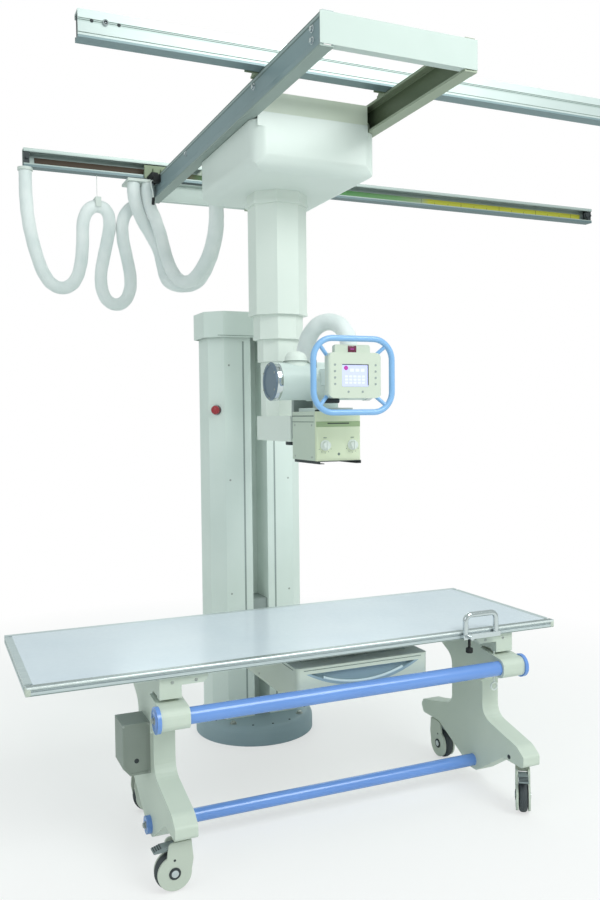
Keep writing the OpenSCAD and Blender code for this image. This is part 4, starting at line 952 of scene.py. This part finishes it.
# %% Caster trim
joints = {j["name"]: j for j in frame["record"]["behaviour"]["joints"]}
for corner_name in CASTERS:
    wheel_low, wheel_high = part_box("wheel_" + corner_name)
    axle = Vector(joints[corner_name + "_roll"]["axis"]).normalized()
    centre = (wheel_low + wheel_high) / 2
    rings, caps, marks = [], [], []
    for out in (-axle, axle):
        rings.append(rod(centre + out * 0.0265, centre + out * 0.0290, 0.0200, 0.0006))
        caps.append(rod(centre + out * 0.0285, centre + out * 0.0310, 0.0125, 0.0010))
        above = centre + Vector((0, 0, 0.044))
        marks.append(rod(above + out * 0.0265, above + out * 0.0275, 0.0042, sides=14))
    fit_out(rings + marks, "hub_ring_" + corner_name, "caster_" + corner_name, dark_plate)
    fit_out(caps, "hub_cap_" + corner_name, "caster_" + corner_name, chrome)
    pivot = Vector(joints[corner_name + "_brake"]["pos_m"])
    along = pivot - Vector(joints[corner_name + "_swivel"]["pos_m"])
    along.z = 0
    along.normalize()
    ribs = []
    for k in range(4):
        middle = pivot + along * (0.045 + 0.007 * k) + Vector((0, 0, 0.0022 - 0.0023 * k))
        ribs.append(rod(middle - axle * 0.017, middle + axle * 0.017, 0.0016, sides=8))
    fit_out(ribs, "pedal_ribs_" + corner_name, "brake_" + corner_name, dark_plate)

# %% [markdown]
# ## Light and floor
# A wide soft lamp in front and above gives the main shading, a weak one on the left and one behind
# lift the shadows, and a pale world fills the rest. The floor shows the machine's shadow near it
# and fades to the plain background further out.

# %% Lamps
def lamp(name, where_to, size, power, shade="#FFFFFF"):
    """A square soft lamp that looks at the machine's middle."""
    bpy.ops.object.light_add(type="AREA", location=where_to)
    obj = bpy.context.object
    obj.name = name
    obj.data.size, obj.data.energy, obj.data.color = size, power, colour(shade)[:3]
    obj.rotation_mode = "QUATERNION"
    obj.rotation_quaternion = (Vector((0, -0.4, 1.4)) - Vector(where_to)).to_track_quat("-Z", "Y")
    return obj


lamp("key_lamp", (1.8, -5.2, 5.2), 3.2, 200, "#F8FFFC")
lamp("left_lamp", (-5.4, -3.4, 4.0), 3.2, 35, "#F4FBFF")
lamp("back_lamp", (2.0, 5.0, 4.5), 3.5, 60, "#F2FFFA")

# %% World
def mix(tree, share, first, second, end):
    """Mixes two shaders by a share and ends the tree with them."""
    node = add(tree, "ShaderNodeMixShader", Fac=share)
    tree.links.new(first, node.inputs[1])
    tree.links.new(second, node.inputs[2])
    tree.links.new(node.outputs[0], end.inputs["Surface"])


world = bpy.data.worlds.new("studio")
bpy.context.scene.world = world
world.use_nodes = True
tree = world.node_tree
tree.nodes.clear()
seen = add(tree, "ShaderNodeLightPath")
direct = add(tree, "ShaderNodeMath", {"operation": "MAXIMUM"})
tree.links.new(seen.outputs["Is Camera Ray"], direct.inputs[0])
tree.links.new(seen.outputs["Is Transmission Ray"], direct.inputs[1])
ambient = add(tree, "ShaderNodeBackground", Color=colour("#E9F6F3"), Strength=0.66)
plain = add(tree, "ShaderNodeBackground", Color=colour("#FFFFFF"), Strength=1.0)
mix(tree, direct.outputs[0], ambient.outputs[0], plain.outputs[0], add(tree, "ShaderNodeOutputWorld"))

# %% Floor
bpy.ops.object.select_all(action="DESELECT")
bpy.ops.mesh.primitive_plane_add(size=60, location=(0, 0, -0.0005))
floor = bpy.context.object
floor.name = "floor"
floor_paint, tree, shader, where = start_material("studio_floor", Base_Color=colour("#F1F2F1"), Roughness=0.9)
away = add(tree, "ShaderNodeVectorMath", {"operation": "LENGTH"})
tree.links.new(where, away.inputs[0])
fade = add(tree, "ShaderNodeMapRange", Value=away.outputs["Value"], From_Min=1.0, From_Max=3.2, To_Min=0.55)
seen = add(tree, "ShaderNodeLightPath")
shown = add(tree, "ShaderNodeMath", {"operation": "MULTIPLY"})
tree.links.new(fade.outputs["Result"], shown.inputs[0])
tree.links.new(seen.outputs["Is Camera Ray"], shown.inputs[1])
glow = add(tree, "ShaderNodeEmission", Color=colour("#FFFFFF"), Strength=1.0)
mix(tree, shown.outputs[0], shader.outputs[0], glow.outputs[0], tree.nodes["Material Output"])
floor.data.materials.append(floor_paint)
